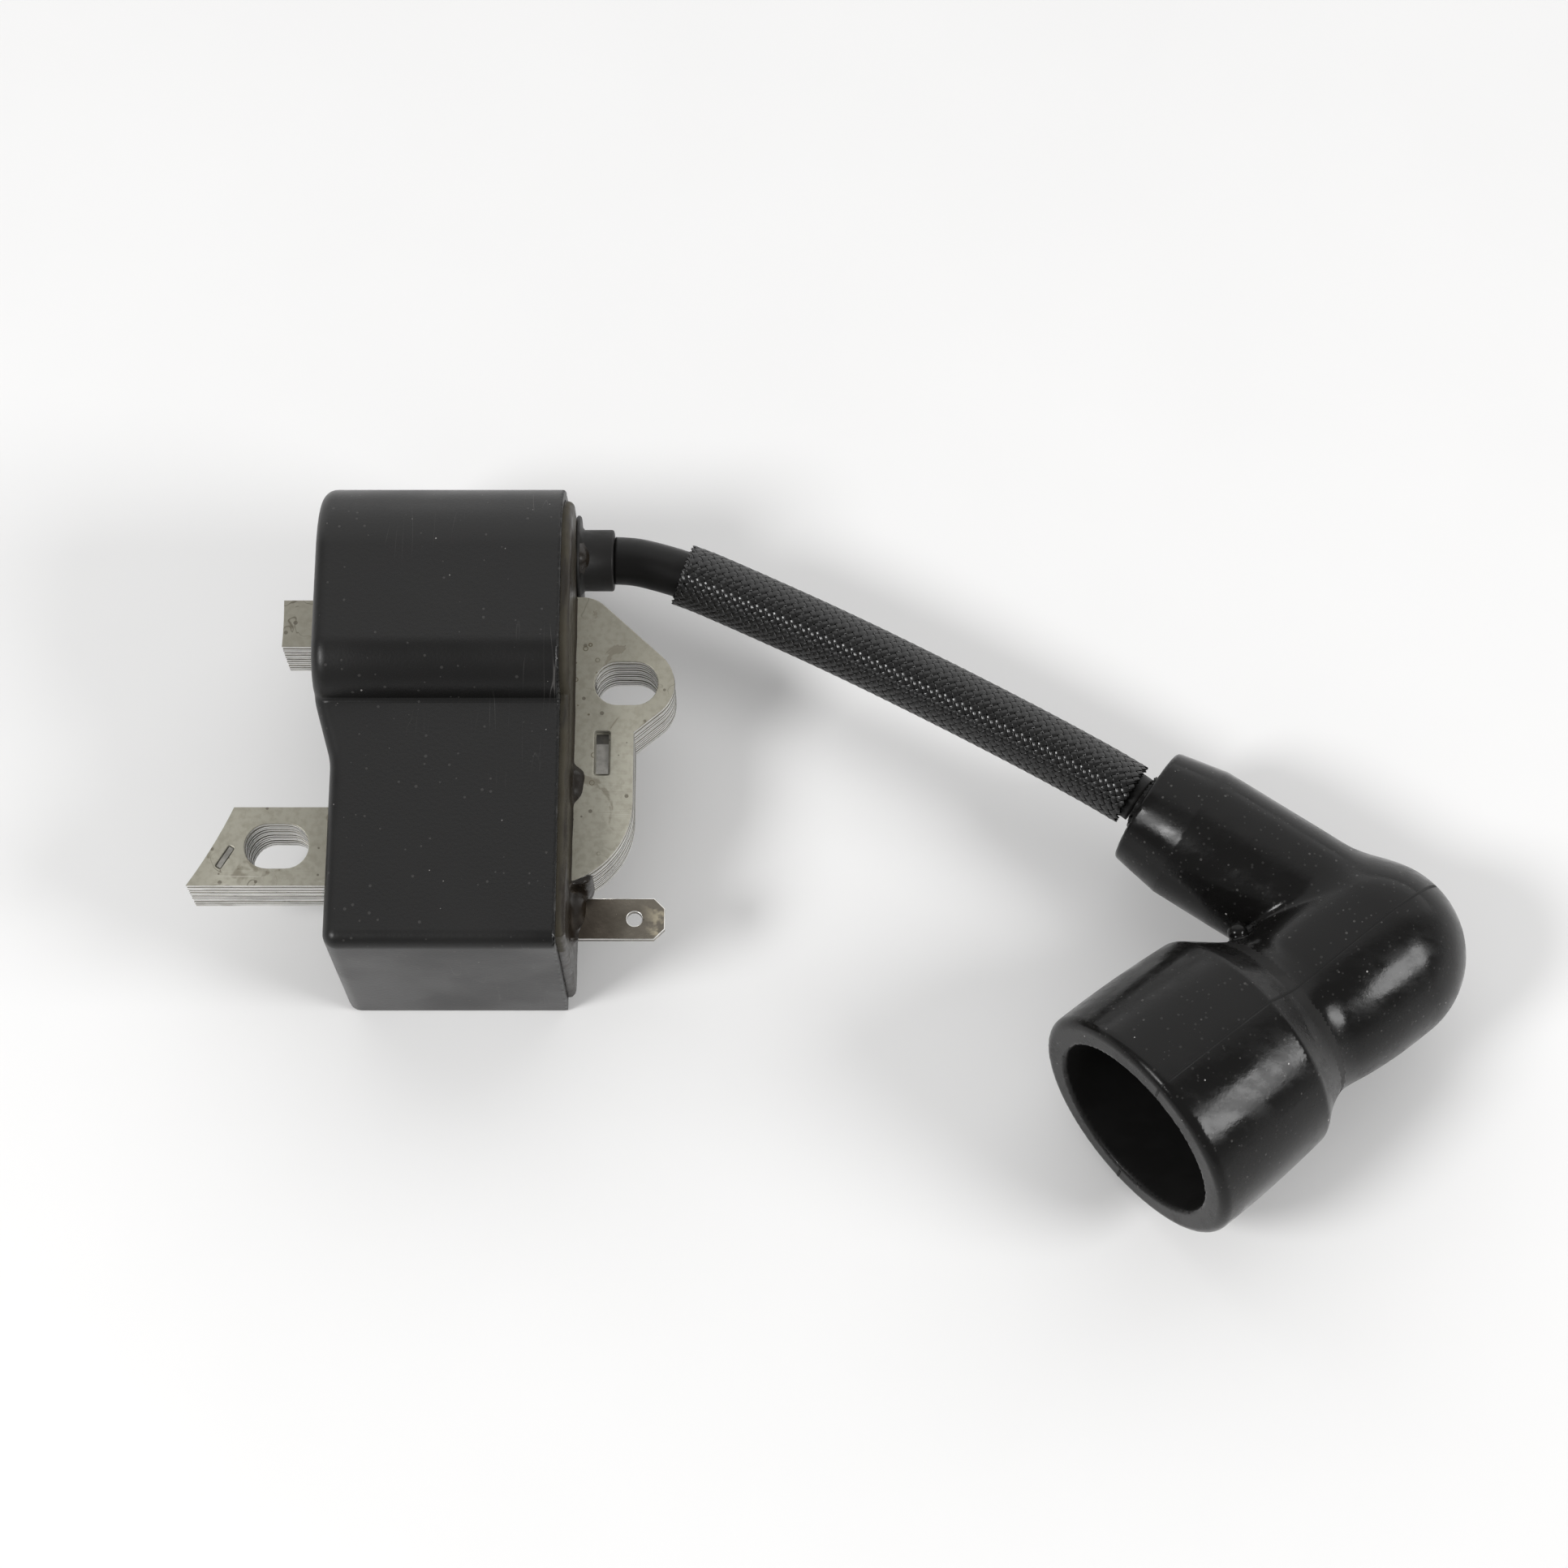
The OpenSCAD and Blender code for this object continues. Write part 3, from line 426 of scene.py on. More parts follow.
class Paint(Nodes):
    """A node material built from a few plain steps; coordinates are the object's own, in metres."""

    def __init__(self, name, **sockets):
        self.material = bpy.data.materials.new(name)
        self.material.use_nodes = True
        super().__init__(self.material.node_tree, "Object")
        self.shader = self.tree.nodes["Principled BSDF"]
        for key, value in sockets.items():
            self.shader.inputs[key.replace("_", " ")].default_value = value

    def stretched(self, scale, turn=0.0):
        """Coordinates turned about Z and scaled, for streaks."""
        inputs = {"Vector": self.place, "Rotation": (0, 0, turn), "Scale": scale}
        return self.node("Mapping", inputs).outputs[0]

    def noise(self, scale, detail=3.0, rough=0.55, vector=None, distortion=0.0):
        """Cloudy pattern; scale is in clouds per metre."""
        inputs = {"Vector": vector or self.place, "Scale": scale, "Detail": detail, "Roughness": rough,
                  "Distortion": distortion}
        return self.node("TexNoise", inputs).outputs["Fac"]

    def cells(self, scale):
        """Distance from the middle of a scattered cell, and two random numbers for the cell."""
        made = self.node("TexVoronoi", {"Vector": self.place, "Scale": scale})
        chances = self.node("SeparateColor", {"Color": made.outputs["Color"]}).outputs
        return made.outputs["Distance"], chances[0], chances[1]

    def mix(self, share, a, b):
        return self.node("MixRGB", {"Fac": share, "Color1": a, "Color2": b}).outputs[0]

    def specks(self, scale, size, rare):
        """Small spots of uneven size; rare is the share of cells left empty."""
        distance, chance, _ = self.cells(scale)
        reach = self.ramp(chance, rare, 1.0, 0.0, size)
        return self.math("LESS_THAN", distance, reach)

    def scratches(self, scale, turn, thin, share):
        """Fine straight marks, broken up."""
        lines = self.noise(1.0, 0.0, 0.5, self.stretched(scale, turn))
        line = self.ramp(self.away(lines, 0.5), 0.0, thin, 1.0, 0.0)
        return self.times(line, self.ramp(self.noise(90.0, 2.0), share, share + 0.12))

    def link(self, **sockets):
        for key, value in sockets.items():
            self.tree.links.new(value, self.shader.inputs[key.replace("_", " ")])
        return self.material

    def surface(self, colour, rough, height, depth, strength=1.0):
        """The material, with its colour, roughness and bump linked."""
        bump = self.node("Bump", {"Height": height, "Distance": depth, "Strength": strength})
        return self.link(Base_Color=colour, Roughness=rough, Normal=bump.outputs[0])


def grey(value, warm=0.0):
    """Grey colour; warm is the share by which red is raised and blue is lowered."""
    return (value * (1 + warm), value, value * (1 - warm), 1.0)


def case_material():
    """Black moulded plastic with dust, scuffs and a pale worn rim."""
    paint = Paint("case_plastic", Specular_IOR_Level=0.36)
    cloud = paint.noise(60.0, 4.0)
    grain = paint.noise(2600.0, 2.0)
    marks = paint.scratches((900.0, 60.0, 60.0), 0.5, 0.006, 0.56)
    colour = paint.mix(cloud, grey(0.0045, 0.04), grey(0.0075, 0.04))
    colour = paint.mix(paint.specks(380.0, 0.045, 0.55), colour, grey(0.22, 0.05))
    colour = paint.mix(paint.specks(1100.0, 0.20, 0.55), colour, grey(0.030, 0.04))
    colour = paint.mix(paint.specks(650.0, 0.05, 0.55), colour, grey(0.16, 0.04))
    colour = paint.mix(paint.times(marks, 0.5), colour, grey(0.12, 0.04))
    at_rim = paint.ramp(paint.axes()[0], (rim_x - RIM_ROUND) * MM, rim_x * MM)
    pale_patches = paint.times(at_rim, paint.ramp(paint.noise(260.0, 3.0), 0.56, 0.72, 0.0, 0.5))
    colour = paint.mix(pale_patches, colour, grey(0.10, 0.03))
    rough = paint.ramp(cloud, 0.3, 0.7, 0.28, 0.42)
    return paint.surface(colour, rough, grain, 0.00003, 0.5)


def resin_material():
    """Dark resin, with paler olive patches just outside the rim and above the core: tinted resin, lighter
    in part as painted reflection from its curved edge.
    """
    paint = Paint("resin", Specular_IOR_Level=0.35)
    cloud = paint.noise(300.0, 3.0)
    colour = paint.mix(cloud, (0.005, 0.004, 0.003, 1), (0.018, 0.012, 0.007, 1))
    x, _, z = paint.axes()
    patch = paint.noise(1.0, 3.0, 0.6, paint.stretched((700.0, 110.0, 110.0)))
    # Paler olive band by the rim: partly the resin's own tint, partly painted reflection on its curved
    # edge.
    film_and_reflection = paint.ramp(x, (rim_x + 0.5) * MM, (rim_x + 1.4) * MM, 0.8, 0.0)
    film_and_reflection = paint.times(film_and_reflection, paint.ramp(patch, 0.38, 0.58, 0.15, 1.0))
    film_and_reflection = paint.times(film_and_reflection, paint.math("GREATER_THAN", z, core_high[2] * MM))
    colour = paint.mix(film_and_reflection, colour, (0.060, 0.052, 0.034, 1))
    sheen = paint.ramp(paint.noise(900.0, 2.0), 0.3, 0.8, 0.26, 0.40)
    rough = paint.math("ADD", sheen, paint.times(film_and_reflection, 0.5))
    return paint.surface(colour, rough, cloud, 0.00005, 0.5)


def drop_rings(paint):
    """Thin closed lines, as dried drops leave, in some places only."""
    ring = paint.away(paint.noise(260.0, 2.0, 0.5, None, 1.2), 0.56)
    line = paint.ramp(ring, 0.0, 0.012, 1.0, 0.0)
    return paint.times(line, paint.ramp(paint.noise(70.0, 2.0), 0.46, 0.56))


def resin_bubbles(paint):
    """Rings of small bubbles on the core, just outside the case."""
    x = paint.axes()[0]
    outside = paint.math("GREATER_THAN", x, rim_x * MM)
    beside = paint.times(outside, paint.ramp(x, (rim_x + 3.0) * MM, (rim_x + 5.0) * MM, 1.0, 0.0))
    distance, _, chance = paint.cells(620.0)
    ring = paint.ramp(paint.away(distance, 0.17), 0.015, 0.04, 1.0, 0.0)
    bubble = paint.times(ring, paint.math("GREATER_THAN", chance, 0.35))
    return paint.times(bubble, beside)


def core_face_material():
    """Coated sheet steel with stains, rings, pits, bubbles and fine scratches."""
    paint = Paint("core_steel", Metallic=0.25)
    cloud = paint.noise(45.0, 5.0)
    colour = paint.mix(paint.ramp(cloud, 0.3, 0.7), (0.275, 0.262, 0.212, 1), (0.375, 0.362, 0.300, 1))
    stain = paint.ramp(paint.noise(190.0, 4.0, 0.6, None, 0.8), 0.60, 0.66)
    colour = paint.mix(paint.times(stain, 0.55), colour, (0.105, 0.085, 0.050, 1))
    colour = paint.mix(paint.times(drop_rings(paint), 0.8), colour, (0.08, 0.065, 0.04, 1))
    pits = paint.specks(1000.0, 0.26, 0.55)
    colour = paint.mix(paint.times(pits, 0.75), colour, (0.085, 0.07, 0.05, 1))
    fine = paint.ramp(paint.noise(1300.0, 3.0), 0.40, 0.68, 0.0, 0.30)
    colour = paint.mix(fine, colour, (0.17, 0.155, 0.115, 1))
    colour = paint.mix(resin_bubbles(paint), colour, (0.12, 0.10, 0.06, 1))
    marks = paint.scratches((40.0, 1100.0, 60.0), 0.1, 0.008, 0.52)
    colour = paint.mix(paint.times(marks, 0.5), colour, (0.52, 0.50, 0.44, 1))
    rough = paint.math("SUBTRACT", paint.ramp(cloud, 0.3, 0.7, 0.36, 0.52), paint.times(stain, 0.2))
    grain = paint.noise(1500.0, 3.0)
    return paint.surface(colour, rough, grain, 0.00004, 0.4)


def core_edge_material():
    """Bright cut edge of the sheets, streaked by the punch."""
    paint = Paint("core_edge", Metallic=0.85)
    streak = paint.noise(1.0, 3.0, 0.6, paint.stretched((220.0, 220.0, 2600.0)))
    cloud = paint.noise(120.0, 3.0)
    colour = paint.mix(paint.ramp(streak, 0.3, 0.7), (0.58, 0.57, 0.54, 1), (0.92, 0.91, 0.88, 1))
    colour = paint.mix(paint.ramp(cloud, 0.56, 0.80), colour, (0.30, 0.27, 0.22, 1))
    rough = paint.ramp(streak, 0.2, 0.8, 0.20, 0.42)
    return paint.surface(colour, rough, streak, 0.00003, 0.5)


def blade_material():
    """Dull tin, darker towards the resin, with pale cloudy patches towards the tip."""
    paint = Paint("tinned", Metallic=0.95)
    cloud = paint.noise(150.0, 4.0)
    colour = paint.mix(paint.ramp(cloud, 0.3, 0.7), (0.112, 0.099, 0.080, 1), (0.180, 0.162, 0.134, 1))
    pits = paint.specks(700.0, 0.14, 0.7)
    colour = paint.mix(pits, colour, (0.05, 0.045, 0.04, 1))
    x = paint.axes()[0]
    root = paint.ramp(x, (rim_x + 2.0) * MM, (rim_x + 9.0) * MM, 0.75, 0.0)
    colour = paint.mix(root, colour, (0.04, 0.030, 0.023, 1))
    tip = paint.ramp(x, (tip_x - 3.0) * MM, tip_x * MM)
    # Pale cloudy patches over the last few millimetres towards the tip.
    pale_patches = paint.times(paint.ramp(paint.noise(520.0, 3.0, 0.6), 0.46, 0.62), tip)
    colour = paint.mix(pale_patches, colour, (0.48, 0.43, 0.32, 1))
    colour = paint.mix(paint.specks(900.0, 0.22, 0.6), colour, (0.42, 0.38, 0.32, 1))
    rough = paint.ramp(paint.noise(400.0, 3.0), 0.3, 0.7, 0.24, 0.40)
    return paint.surface(colour, rough, paint.noise(1800.0), 0.00003, 0.5)


def rubber_material(name, dark, light, smooth, rough, dust):
    """Black rubber with cloudy sheen and dust specks."""
    paint = Paint(name, Specular_IOR_Level=0.2)
    cloud = paint.noise(55.0, 4.0)
    smear = paint.noise(1.0, 5.0, 0.65, paint.stretched((160.0, 320.0, 160.0), 0.6))
    colour = paint.mix(cloud, grey(dark, 0.04), grey(light, 0.04))
    if dust:
        colour = paint.mix(paint.specks(1700.0, 4.5 * dust, 0.3), colour, grey(0.022, 0.03))
        colour = paint.mix(paint.specks(1000.0, 2.5 * dust, 0.5), colour, grey(0.050, 0.03))
        colour = paint.mix(paint.specks(420.0, dust, 0.45), colour, grey(0.30, 0.03))
    spread = paint.ramp(smear, 0.40, 0.64, smooth, rough)
    grain = paint.noise(1900.0, 2.0)
    return paint.surface(colour, spread, grain, 0.00003, 0.35)


def yarn_material():
    """Black glossy yarn."""
    paint = Paint("braid", Specular_IOR_Level=0.6)
    cloud = paint.noise(220.0, 3.0)
    colour = paint.mix(cloud, grey(0.0015, 0.05), grey(0.004, 0.05))
    rough = paint.ramp(paint.noise(900.0, 2.0), 0.3, 0.7, 0.20, 0.30)
    return paint.surface(colour, rough, paint.noise(3000.0), 0.00001, 0.4)


def plain_material(name, dark, light, metallic, smooth, rough, scale):
    """Cloudy finish of the sealed pieces and of small steel faces; some of these colours are painted shade.
    """
    paint = Paint(name, Metallic=metallic)
    cloud = paint.noise(scale, 4.0)
    colour = paint.mix(paint.ramp(cloud, 0.3, 0.7), dark, light)
    spread = paint.ramp(cloud, 0.3, 0.7, smooth, rough)
    return paint.surface(colour, spread, cloud, 0.00005, 0.4)


def winding_material():
    """Enamelled wire: fine turns along X."""
    paint = Paint("copper", Metallic=0.9)
    wave = paint.node("TexWave", {"Vector": paint.place, "Scale": 900.0, "Distortion": 0.4},
                      bands_direction="X").outputs["Fac"]
    colour = paint.mix(wave, (0.20, 0.06, 0.02, 1), (0.52, 0.21, 0.08, 1))
    rough = paint.ramp(wave, 0.0, 1.0, 0.42, 0.26)
    return paint.surface(colour, rough, wave, 0.0001)


case_paint = case_material()
resin_paint = resin_material()
core_paint = core_face_material()
edge_paint = core_edge_material()
blade_paint = blade_material()
boot_paint = rubber_material("boot_rubber", 0.004, 0.008, 0.14, 0.31, 0.06)
bore_paint = rubber_material("bore_rubber", 0.007, 0.012, 0.42, 0.58, 0.0)
seam_paint = rubber_material("seam_rubber", 0.004, 0.007, 0.45, 0.6, 0.0)
lead_paint = rubber_material("lead_rubber", 0.006, 0.010, 0.34, 0.48, 0.0)
collar_paint = rubber_material("collar_rubber", 0.010, 0.016, 0.42, 0.58, 0.03)
braid_paint = yarn_material()
copper_paint = winding_material()

# Plain finishes and painted shade: dark and light colour, metallic, lowest and highest roughness, clouds
# per metre
PLAIN = {"former_plastic": ((0.40, 0.37, 0.29, 1), (0.50, 0.47, 0.38, 1), 0.0, 0.4, 0.6, 120.0),
         "board": ((0.03, 0.12, 0.05, 1), (0.05, 0.18, 0.08, 1), 0.0, 0.3, 0.5, 200.0),
         "capacitor_film": ((0.22, 0.03, 0.02, 1), (0.30, 0.05, 0.03, 1), 0.0, 0.15, 0.3, 90.0),
         "component_black": (grey(0.015), grey(0.03), 0.0, 0.4, 0.6, 300.0),
         "resistor_body": ((0.50, 0.36, 0.19, 1), (0.6, 0.45, 0.26, 1), 0.0, 0.3, 0.5, 200.0),
         "strap_brass": ((0.40, 0.31, 0.12, 1), (0.52, 0.42, 0.18, 1), 1.0, 0.25, 0.4, 150.0),
         "mark_steel_and_shade": ((0.17, 0.165, 0.15, 1), (0.30, 0.29, 0.265, 1), 0.4, 0.3, 0.5, 900.0),
         "groove_shade": ((0.03, 0.028, 0.024, 1), (0.09, 0.085, 0.07, 1), 0.3, 0.42, 0.6, 700.0),
         "spring_steel": ((0.38, 0.38, 0.39, 1), (0.55, 0.55, 0.56, 1), 1.0, 0.18, 0.32, 300.0)}
plain = {name: plain_material(name, *values) for name, values in PLAIN.items()}

# CAD nodes that stay: sealed pieces and the resin behind its face
KEPT = [(resin_paint, ["potting_resin"]),
        (plain["former_plastic"], ["primary_former", "secondary_former"]),
        (copper_paint, ["primary_winding", "charging_winding", "secondary_winding", "lead_strands"]),
        (blade_paint, ["former_pins", "output_pin"]),
        (plain["board"], ["circuit_board"]),
        (plain["capacitor_film"], ["storage_capacitor"]),
        (plain["component_black"], ["thyristor", "rectifier_diodes"]),
        (plain["resistor_body"], ["resistors"]),
        (plain["strap_brass"], ["ground_strap"]),
        (lead_paint, ["lead_root", "lead_tail"])]
for paint, names in KEPT:
    for name in names:
        mesh = frame["nodes"][name].data
        mesh.materials.clear()
        mesh.materials.append(paint)


# Case
def case_outline(y, z):
    """Outline of the case seen along X."""
    mid = (HUMP_NEAR + far_y) / 2
    top = np.where(y > mid, FAR_ROUND, NEAR_ROUND)
    low = np.where(y > mid, LOW_ROUND, NEAR_ROUND)
    hump = round_box(y, z, (HUMP_NEAR, 0), (far_y, coil_h), np.where(z > coil_h / 2, top, low))
    edge = np.where(z > BOX_H / 2, CASE_ROUND, BASE_ROUND)
    low_box = round_box(y, z, (front_y, 0), (far_y - FAR_ROUND, BOX_H), edge)
    return np.maximum(smooth_union(hump, low_box, HUMP_FILLET), -z)


def closed_wall(x, y):
    """Distance past the closed wall, with its slanting step."""
    foot = np.array([wall_x + JOG, JOG_Y0])
    run = unit(np.array([wall_x, JOG_Y1]) - foot)
    slant = -run[1] * (x - foot[0]) + run[0] * (y - foot[1])
    return smooth_union(foot[0] - x, round_meet(wall_x - x, slant, JOG_ROUND), JOG_ROUND)


def leg_hole(y, z, leg):
    """Outline of the hole for one leg of the core, seen along X."""
    return round_box(y, z, (leg[0], core_low[2]), (leg[1], core_high[2]), LEG_HOLE_ROUND)


def case_shape(p):
    """Cup with an uneven rim, and holes in its closed wall for the core's legs."""
    x, y, z = p.T
    round_side = case_outline(y, z)
    wall = closed_wall(x, y)
    wear = RIM_WEAR * ripple(RIM_WAVES * y, RIM_WAVES * z)
    shell = round_meet(round_meet(round_side, wall, CASE_ROUND), x - rim_x - wear, RIM_ROUND)
    cup = np.maximum(round_side + WALL, wall + WALL)
    legs = np.minimum(leg_hole(y, z, COIL_LEG), leg_hole(y, z, BARE_LEG))
    return np.maximum(np.maximum(shell, -cup), -np.maximum(legs - LEG_HOLE_GAP, x))


points, quads, normals = skin(case_shape, case_low, case_high, CASE_CELL)
case = make_object("case_shell", points, quads, "module", case_paint, True, normals)
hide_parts("case")

# Resin's face, with its creep up the yoke, the collar and the blade, and a few drops
RESIN_BACK, RESIN_REACH, REACH_ROUND = 1.2, 2.6, 1.3
RESIN_GAP, RESIN_PROUD, FACE_ROUND = 0.02, 0.12, 0.8
SWELL, SWELL_WAVES = 0.03, 0.3
SUNK = 0.3
YOKE_CREEP, COLLAR_CREEP, BLADE_CREEP, DRIP_CREEP = 1.05, 2.0, 2.2, 1.2
YOKE_BACK, YOKE_SHORT, YOKE_EDGE = 4, 1, 0.2
BLADE_FROM_X, BLADE_EDGE = 10, 0.1
DRIPS = [((15.1, -6.3, 19.2), 0.85), ((14.8, -7.9, 19.2), 0.8), ((14.4, -20.6, 15.2), 1.7),
         ((14.9, 20.6, 18.9), 1.0)]
RESIN_CELL = 0.3
resin_low, resin_high = box_mm("potting_resin")


def resin_shape(p):
    """Face inside the rim, drawn up on what stands in it as far as the resin's reach."""
    x, y, z = p.T
    swell = SWELL * ripple(SWELL_WAVES * y, SWELL_WAVES * z)
    level = x - resin_high[0] - RESIN_PROUD - swell
    body = round_meet(case_outline(y, z) + WALL - RESIN_GAP, level, FACE_ROUND)
    yoke_low = (YOKE_X0 - YOKE_BACK, BARE_LEG[0], core_low[2])
    yoke_high = (YOKE_X1 - YOKE_SHORT, YOKE_Y1, core_high[2])
    blade_back = (BLADE_FROM_X, blade_low[1], blade_high[2] - BLADE_T)
    collar = np.hypot(y - collar_axis[1], z - collar_axis[2]) - COLLAR_R
    body = smooth_union(body, block(p, yoke_low, yoke_high, YOKE_EDGE) + SUNK, YOKE_CREEP)
    body = smooth_union(body, collar + SUNK, COLLAR_CREEP)
    body = smooth_union(body, block(p, blade_back, blade_high, BLADE_EDGE) + SUNK, BLADE_CREEP)
    for centre, r in DRIPS:
        body = smooth_union(body, ball(p, centre, r), DRIP_CREEP)
    body = round_meet(body, x - resin_high[0] - RESIN_REACH, REACH_ROUND)
    return np.maximum(body, rim_x - RESIN_BACK - x)


points, quads, normals = skin(resin_shape, (rim_x - RESIN_BACK, resin_low[1], 0),
                              (resin_high[0] + RESIN_REACH, far_y, coil_h), RESIN_CELL)
make_object("resin_face", points, quads, "module", resin_paint, True, normals)

# Core: twelve sheets, each a filled outline with a fine rounded edge
EDGE_ROUND, EDGE_SHIFT = 0.11, 0.03
EDGE_TILT, FACE_TILT = 0.2, 0.9
YOKE_DIMPLE, YOKE_DIMPLE_EDGE = (-0.08, -0.40, -0.44, -0.44, -0.62), 0.2
LEG_DIMPLE, LEG_DIMPLE_EDGE = (-0.06, -0.05, -0.05, -0.06), 0.13


def arc(centre, r, a0, a1, n):
    """Points of an arc in n steps, between angles in degrees."""
    turn = np.radians(np.linspace(a0, a1, n + 1))
    return [(centre[0] + r * c, centre[1] + r * s) for c, s in zip(np.cos(turn), np.sin(turn))]


def pole_face(y0, y1, n=6):
    """Points of a hollow pole face, on a circle about the flywheel's axis."""
    places = np.linspace(y0, y1, n)
    return [(pole_centre_x + math.sqrt(POLE_R ** 2 - (y - coil_y) ** 2), y) for y in places]


def sheet_outline():
    """Outer edge of a sheet, from the yoke's near corner round the ear and along both legs."""
    ear = ear_slot + [slot_run / 2, 0]
    points = arc((YOKE_X1 - YOKE_CORNER, BARE_LEG[0] + YOKE_CORNER), YOKE_CORNER, -90, 0, 20)
    points += [(YOKE_X1, ear_slot[1] - EAR_FOOT)]
    points += arc(ear, SLOT_W / 2 + EAR_WALL, EAR_FROM, EAR_TO, 18)
    points += arc((YOKE_X1 - YOKE_TOP_IN, YOKE_Y1 - YOKE_TOP_R), YOKE_TOP_R, EAR_TO, 90, 8)
    points += [(YOKE_X0, YOKE_Y1), (YOKE_X0, COIL_LEG[1])]
    points += pole_face(COIL_LEG[1], COIL_LEG[0])
    points += [(YOKE_X0, COIL_LEG[0]), (YOKE_X0, BARE_LEG[1])]
    points += pole_face(BARE_LEG[1], BARE_LEG[0], 9)
    return points


def slot_outline(centre):
    """Edge of a screw slot, which runs along X."""
    right = arc((centre[0] + slot_run / 2, centre[1]), SLOT_W / 2, -90, 90, 14)
    return right + arc((centre[0] - slot_run / 2, centre[1]), SLOT_W / 2, 90, 270, 14)


def turned_at(centre, turn, x, y):
    """Point turned about the origin, in degrees, then moved to a centre."""
    c, s = math.cos(math.radians(turn)), math.sin(math.radians(turn))
    return centre[0] + c * x - s * y, centre[1] + s * x + c * y


def turned_box(centre, size, turn):
    """Rectangle with rounded corners, turned about its centre."""
    half = np.array(size) / 2 - MARK_ROUND
    corners = [(1, 1, 0), (-1, 1, 90), (-1, -1, 180), (1, -1, 270)]
    points = []
    for sx, sy, a in corners:
        points += arc((sx * half[0], sy * half[1]), MARK_ROUND, a, a + 90, 3)
    return [turned_at(centre, turn, x, y) for x, y in points]


def filled(name, loops, z0, thick, rounding):
    """Mesh of a filled outline with holes, made with rounded edges by a flat curve."""
    curve = bpy.data.curves.new(name, "CURVE")
    curve.dimensions = "2D"
    curve.fill_mode = "BOTH"
    curve.extrude = (thick / 2 - rounding) * MM
    curve.bevel_depth = rounding * MM
    curve.bevel_resolution = 1
    curve.offset = -rounding * MM
    for loop in loops:
        spline = curve.splines.new("POLY")
        spline.points.add(len(loop) - 1)
        for point, (x, y) in zip(spline.points, loop):
            point.co = (x * MM, y * MM, 0, 1)
        spline.use_cyclic_u = True
    carrier = bpy.data.objects.new(name, curve)
    carrier.location.z = (z0 + thick / 2) * MM
    bpy.context.scene.collection.objects.link(carrier)
    bpy.context.view_layer.update()
    shaped = carrier.evaluated_get(bpy.context.evaluated_depsgraph_get())
    mesh = bpy.data.meshes.new_from_object(shaped)
    mesh.transform(carrier.matrix_world)
    bpy.data.objects.remove(carrier)
    return mesh


def joined(meshes):
    """Points and faces of several meshes as one."""
    points, faces = [], []
    for mesh in meshes:
        start = len(points)
        points += [v.co / MM for v in mesh.vertices]
        faces += [[start + k for k in polygon.vertices] for polygon in mesh.polygons]
    return np.array(points), faces


def sheet(k):
    """Mesh of one sheet, counted from below; each lies a little off the others."""
    shift = np.array([math.sin(2.7 * k), math.cos(4.1 * k)]) * EDGE_SHIFT
    loops = [sheet_outline(), slot_outline(ear_slot), slot_outline(leg_slot)]
    if k == SHEETS - 1:
        loops.append(turned_box(yoke_mark_pos, YOKE_MARK, 0))
        loops.append(turned_box(leg_mark_pos, LEG_MARK, LEG_MARK_TURN))
    loops = [[(x + shift[0], y + shift[1]) for x, y in loop] for loop in loops]
    z0 = core_low[2] + k * SHEET_PITCH + (SHEET_PITCH - SHEET_T) / 2
    return filled("sheet", loops, z0, SHEET_T, EDGE_ROUND)


points, faces = joined([sheet(k) for k in range(SHEETS)])
core = make_object("core_sheets", points, faces, "module", core_paint, False)
core.data.materials.append(edge_paint)
core.data.materials.append(plain["groove_shade"])
# Upright cut faces get the bright edge metal; rounded edges below the top sheet get groove_shade, painted
# shade in the gaps between sheets.
top_rim = (core_high[2] - SHEET_PITCH / 2) * MM
for polygon in core.data.polygons:
    tilt = abs(polygon.normal.z)
    if tilt < EDGE_TILT:
        polygon.material_index = 1
    elif tilt < FACE_TILT and polygon.center.z < top_rim:
        polygon.material_index = 2
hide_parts("core_stack")


def dimple(name, centre, size, turn, edge, depths):
    """Pressed strip in an interlock mark; depths run from its near end to its far one."""
    half_w, half_l = size[0] / 2 - edge, size[1] / 2 - edge
    points = []
    for y, z in zip(np.linspace(-half_l, half_l, len(depths)), depths):
        for x in (-half_w, half_w):
            points.append((*turned_at(centre, turn, x, y), core_high[2] - MARK_SUNK + z))
    faces = [(2 * k, 2 * k + 1, 2 * k + 3, 2 * k + 2) for k in range(len(depths) - 1)]
    # Pressed floor: grey steel, made darker as painted shade in the recess.
    return make_object(name, points, faces, "module", plain["mark_steel_and_shade"], False)


yoke_strip = dimple("interlock_yoke", yoke_mark_pos, YOKE_MARK, 0, YOKE_DIMPLE_EDGE, YOKE_DIMPLE)
# The far facet of the yoke's mark gets groove_shade, painted shade at the deep end of the recess.
yoke_strip.data.materials.append(plain["groove_shade"])
yoke_strip.data.polygons[len(yoke_strip.data.polygons) - 1].material_index = 1
dimple("interlock_leg", leg_mark_pos, LEG_MARK, LEG_MARK_TURN, LEG_DIMPLE_EDGE, LEG_DIMPLE)

